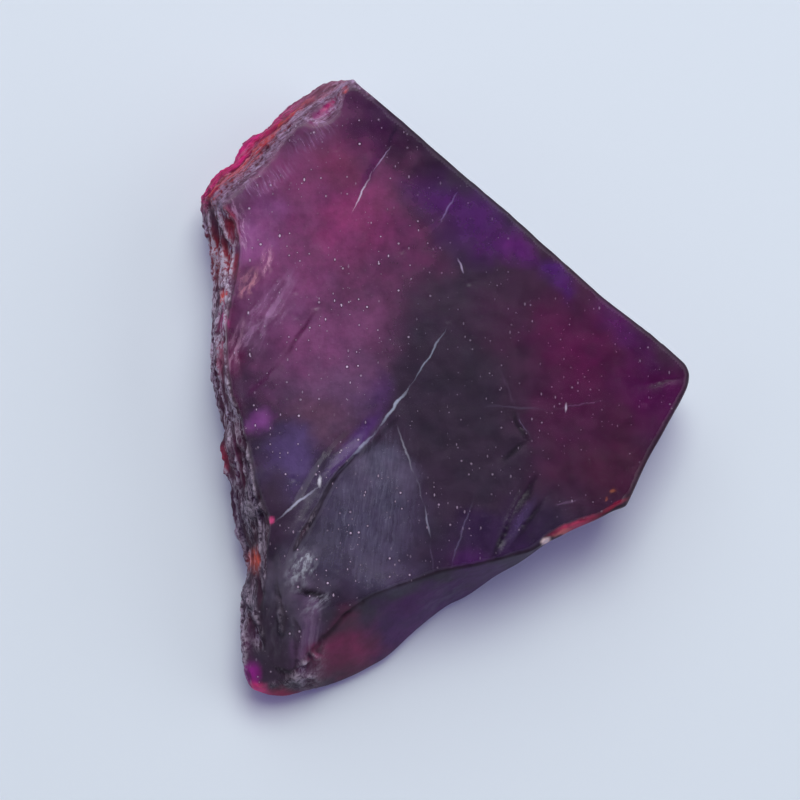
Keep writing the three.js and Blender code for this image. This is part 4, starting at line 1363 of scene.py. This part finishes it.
    def height(self, sheet: Sheet, place: Socket) -> Socket:
        """Makes the bumps too fine for the mesh: orange peel, grit, flecks, fibres and leaves.

        Args:
            sheet: The material's sheet.
            place: Coordinates in millimetres.

        Returns:
            Their height in millimetres.
        """
        streaks = sheet.vector("DIVIDE", place, (1.0, self.leaf_stretch, 1.0))
        along = sheet.leafwise(place, self.leaf_stretch)
        peel = sheet.product(sheet.noise(place, 1.1, 3.0), self.peel)
        grit = sheet.product(sheet.noise(place, 0.28), self.grit)
        fleck = sheet.product(sheet.noise(streaks, 0.5, 3.0), self.fleck)
        fibre, leaf = (sheet.product(sheet.noise(stretched, 0.4, 4.0, 0.75),
                                     self.mark(sheet, mark), self.thread)
                       for stretched, mark in ((streaks, Mark.LEFT), (along, Mark.LAYERED)))
        return sheet.total(peel, grit, fleck, fibre, leaf)


# --- Surroundings -------------------------------------------------------------------------------


@dataclass(frozen=True)
class TableTop:
    """The pale table that the stone lies on."""

    side: float = 1600.0
    gap: float = 0.03  # under the stone's flat back
    colour: Shade = (222, 228, 239)
    roughness: float = 0.6

    def make(self) -> bpy.types.Object:
        """Builds the table top and marks it as surroundings.

        Returns:
            The table top.
        """
        half = self.side / 2 * MM
        mesh = bpy.data.meshes.new("table_top")
        corners = [(x, y, -self.gap * MM) for x, y in
                   ((-half, -half), (half, -half), (half, half), (-half, half))]
        mesh.from_pydata(corners, [], [(0, 1, 2, 3)])
        material = bpy.data.materials.new("pale table")
        material.use_nodes = True
        paint = material.node_tree.nodes["Principled BSDF"]
        paint.inputs["Base Color"].default_value = linear(self.colour)
        paint.inputs["Roughness"].default_value = self.roughness
        mesh.materials.append(material)
        top = bpy.data.objects.new("table_top", mesh)
        bpy.context.scene.collection.objects.link(top)
        return top


@dataclass(frozen=True)
class Softbox:
    """A square soft light aimed at the stone."""

    name: str
    azimuth: float  # degrees from +X, anticlockwise seen from above
    elevation: float
    distance: float
    side: float
    power: float  # watts
    mirrored: bool = True  # seen in the stone's faces
    colour: Light = (0.955, 0.98, 1.0)

    def make(self, target: Vector) -> None:
        """Hangs the light and turns it to the target.

        Args:
            target: What it is aimed at, in metres.
        """
        lamp = bpy.data.lights.new(self.name, "AREA")
        lamp.size = self.side * MM
        lamp.energy = self.power
        lamp.color = self.colour
        light = bpy.data.objects.new(self.name, lamp)
        azimuth, elevation = math.radians(self.azimuth), math.radians(self.elevation)
        across = math.cos(elevation)
        away = Vector((across * math.cos(azimuth), across * math.sin(azimuth),
                       math.sin(elevation)))
        light.location = target + away * self.distance * MM
        light.rotation_euler = (-away).to_track_quat("-Z", "Y").to_euler()
        light.visible_glossy = light.visible_transmission = self.mirrored
        bpy.context.scene.collection.objects.link(light)


@dataclass(frozen=True)
class Studio:
    """Soft daylight from the upper left, with a dim pale surround."""

    surround: Light = (0.80, 0.90, 1.0)
    overhead: float = 0.02  # strength of the surround straight above, where the ceiling is dark
    horizon: float = 0.6  # and level with the table
    near_side: float = 0.12  # share of it that is left on the side of the stone's foot
    turning: Point = (-0.6, 0.5)  # along Y, where the share starts to grow and where it is 1
    boxes: tuple[Softbox, ...] = (
        Softbox("ceiling", 74, 63, 1500, 950, 16.4, mirrored=False),
        Softbox("key", 101, 43, 1500, 1230, 5.6),
        Softbox("left fill", 176, 28, 1500, 1230, 1.5),
        Softbox("right fill", 4, 28, 1500, 1230, 6.6),
    )

    def make(self, target: Vector) -> None:
        """Sets the world and hangs the softboxes.

        Args:
            target: What the softboxes are aimed at, in metres.
        """
        world = bpy.data.worlds.new("studio")
        world.use_nodes = True
        sheet = Sheet(world.node_tree)
        _, back, up = sheet.parts(sheet.node("ShaderNodeTexCoord").outputs["Generated"])
        level = sheet.ramp(up, 0.0, 1.0, self.horizon, self.overhead, smooth=False)
        turned = sheet.ramp(back, *self.turning, self.near_side, 1.0)
        sheet.feed(world.node_tree.nodes["Background"], Color=(*self.surround, 1.0),
                   Strength=sheet.math("MULTIPLY", level, turned))
        bpy.context.scene.world = world
        bpy.context.scene.view_settings.view_transform = "Standard"
        for box in self.boxes:
            box.make(target)


@dataclass(frozen=True)
class StoneCamera:
    """The camera, which looks down on the stone from its foot's side."""

    target: tuple[float, float, float] = (-4.42, -2.92, 11.5)
    elevation: float = 80.0
    distance: float = 330.0
    nearest: float = 10.0  # nothing is seen nearer than this
    pixels_per_mm: float = 9.6  # at the target, in a picture 800 pixels wide
    sensor: float = 36.0
    picture: int = 800

    def make(self) -> None:
        """Places the camera and makes it the scene's own."""
        optics = bpy.data.cameras.new("camera")
        optics.sensor_width = self.sensor
        optics.lens = self.sensor * self.distance * self.pixels_per_mm / self.picture
        optics.clip_start = self.nearest * MM
        camera = bpy.data.objects.new("camera", optics)
        tilt = math.radians(self.elevation)
        away = Vector((0.0, -math.cos(tilt), math.sin(tilt)))
        camera.location = Vector(self.target) * MM + away * self.distance * MM
        camera.rotation_euler = (math.radians(90 - self.elevation), 0.0, 0.0)
        bpy.context.scene.collection.objects.link(camera)
        bpy.context.scene.camera = camera


def main() -> None:
    logging.basicConfig(level=logging.INFO, format="%(name)s: %(message)s")
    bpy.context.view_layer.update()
    StoneCamera().make()
    LOG.info("camera: %g degrees above the table", StoneCamera.elevation)
    Studio().make(Vector(StoneCamera.target) * MM)
    LOG.info("studio: %d softboxes", len(Studio.boxes))
    top = TableTop().make()
    LOG.info("%s: stage", top.name)
    piece = RoughStone().make(SapphireFinish().make())
    triangles = sum(len(face.vertices) - 2 for face in piece.data.polygons)
    LOG.info("%s: %d triangles on body %s", piece.name, triangles, RoughStone.body)


if __name__ == "__main__":
    main()
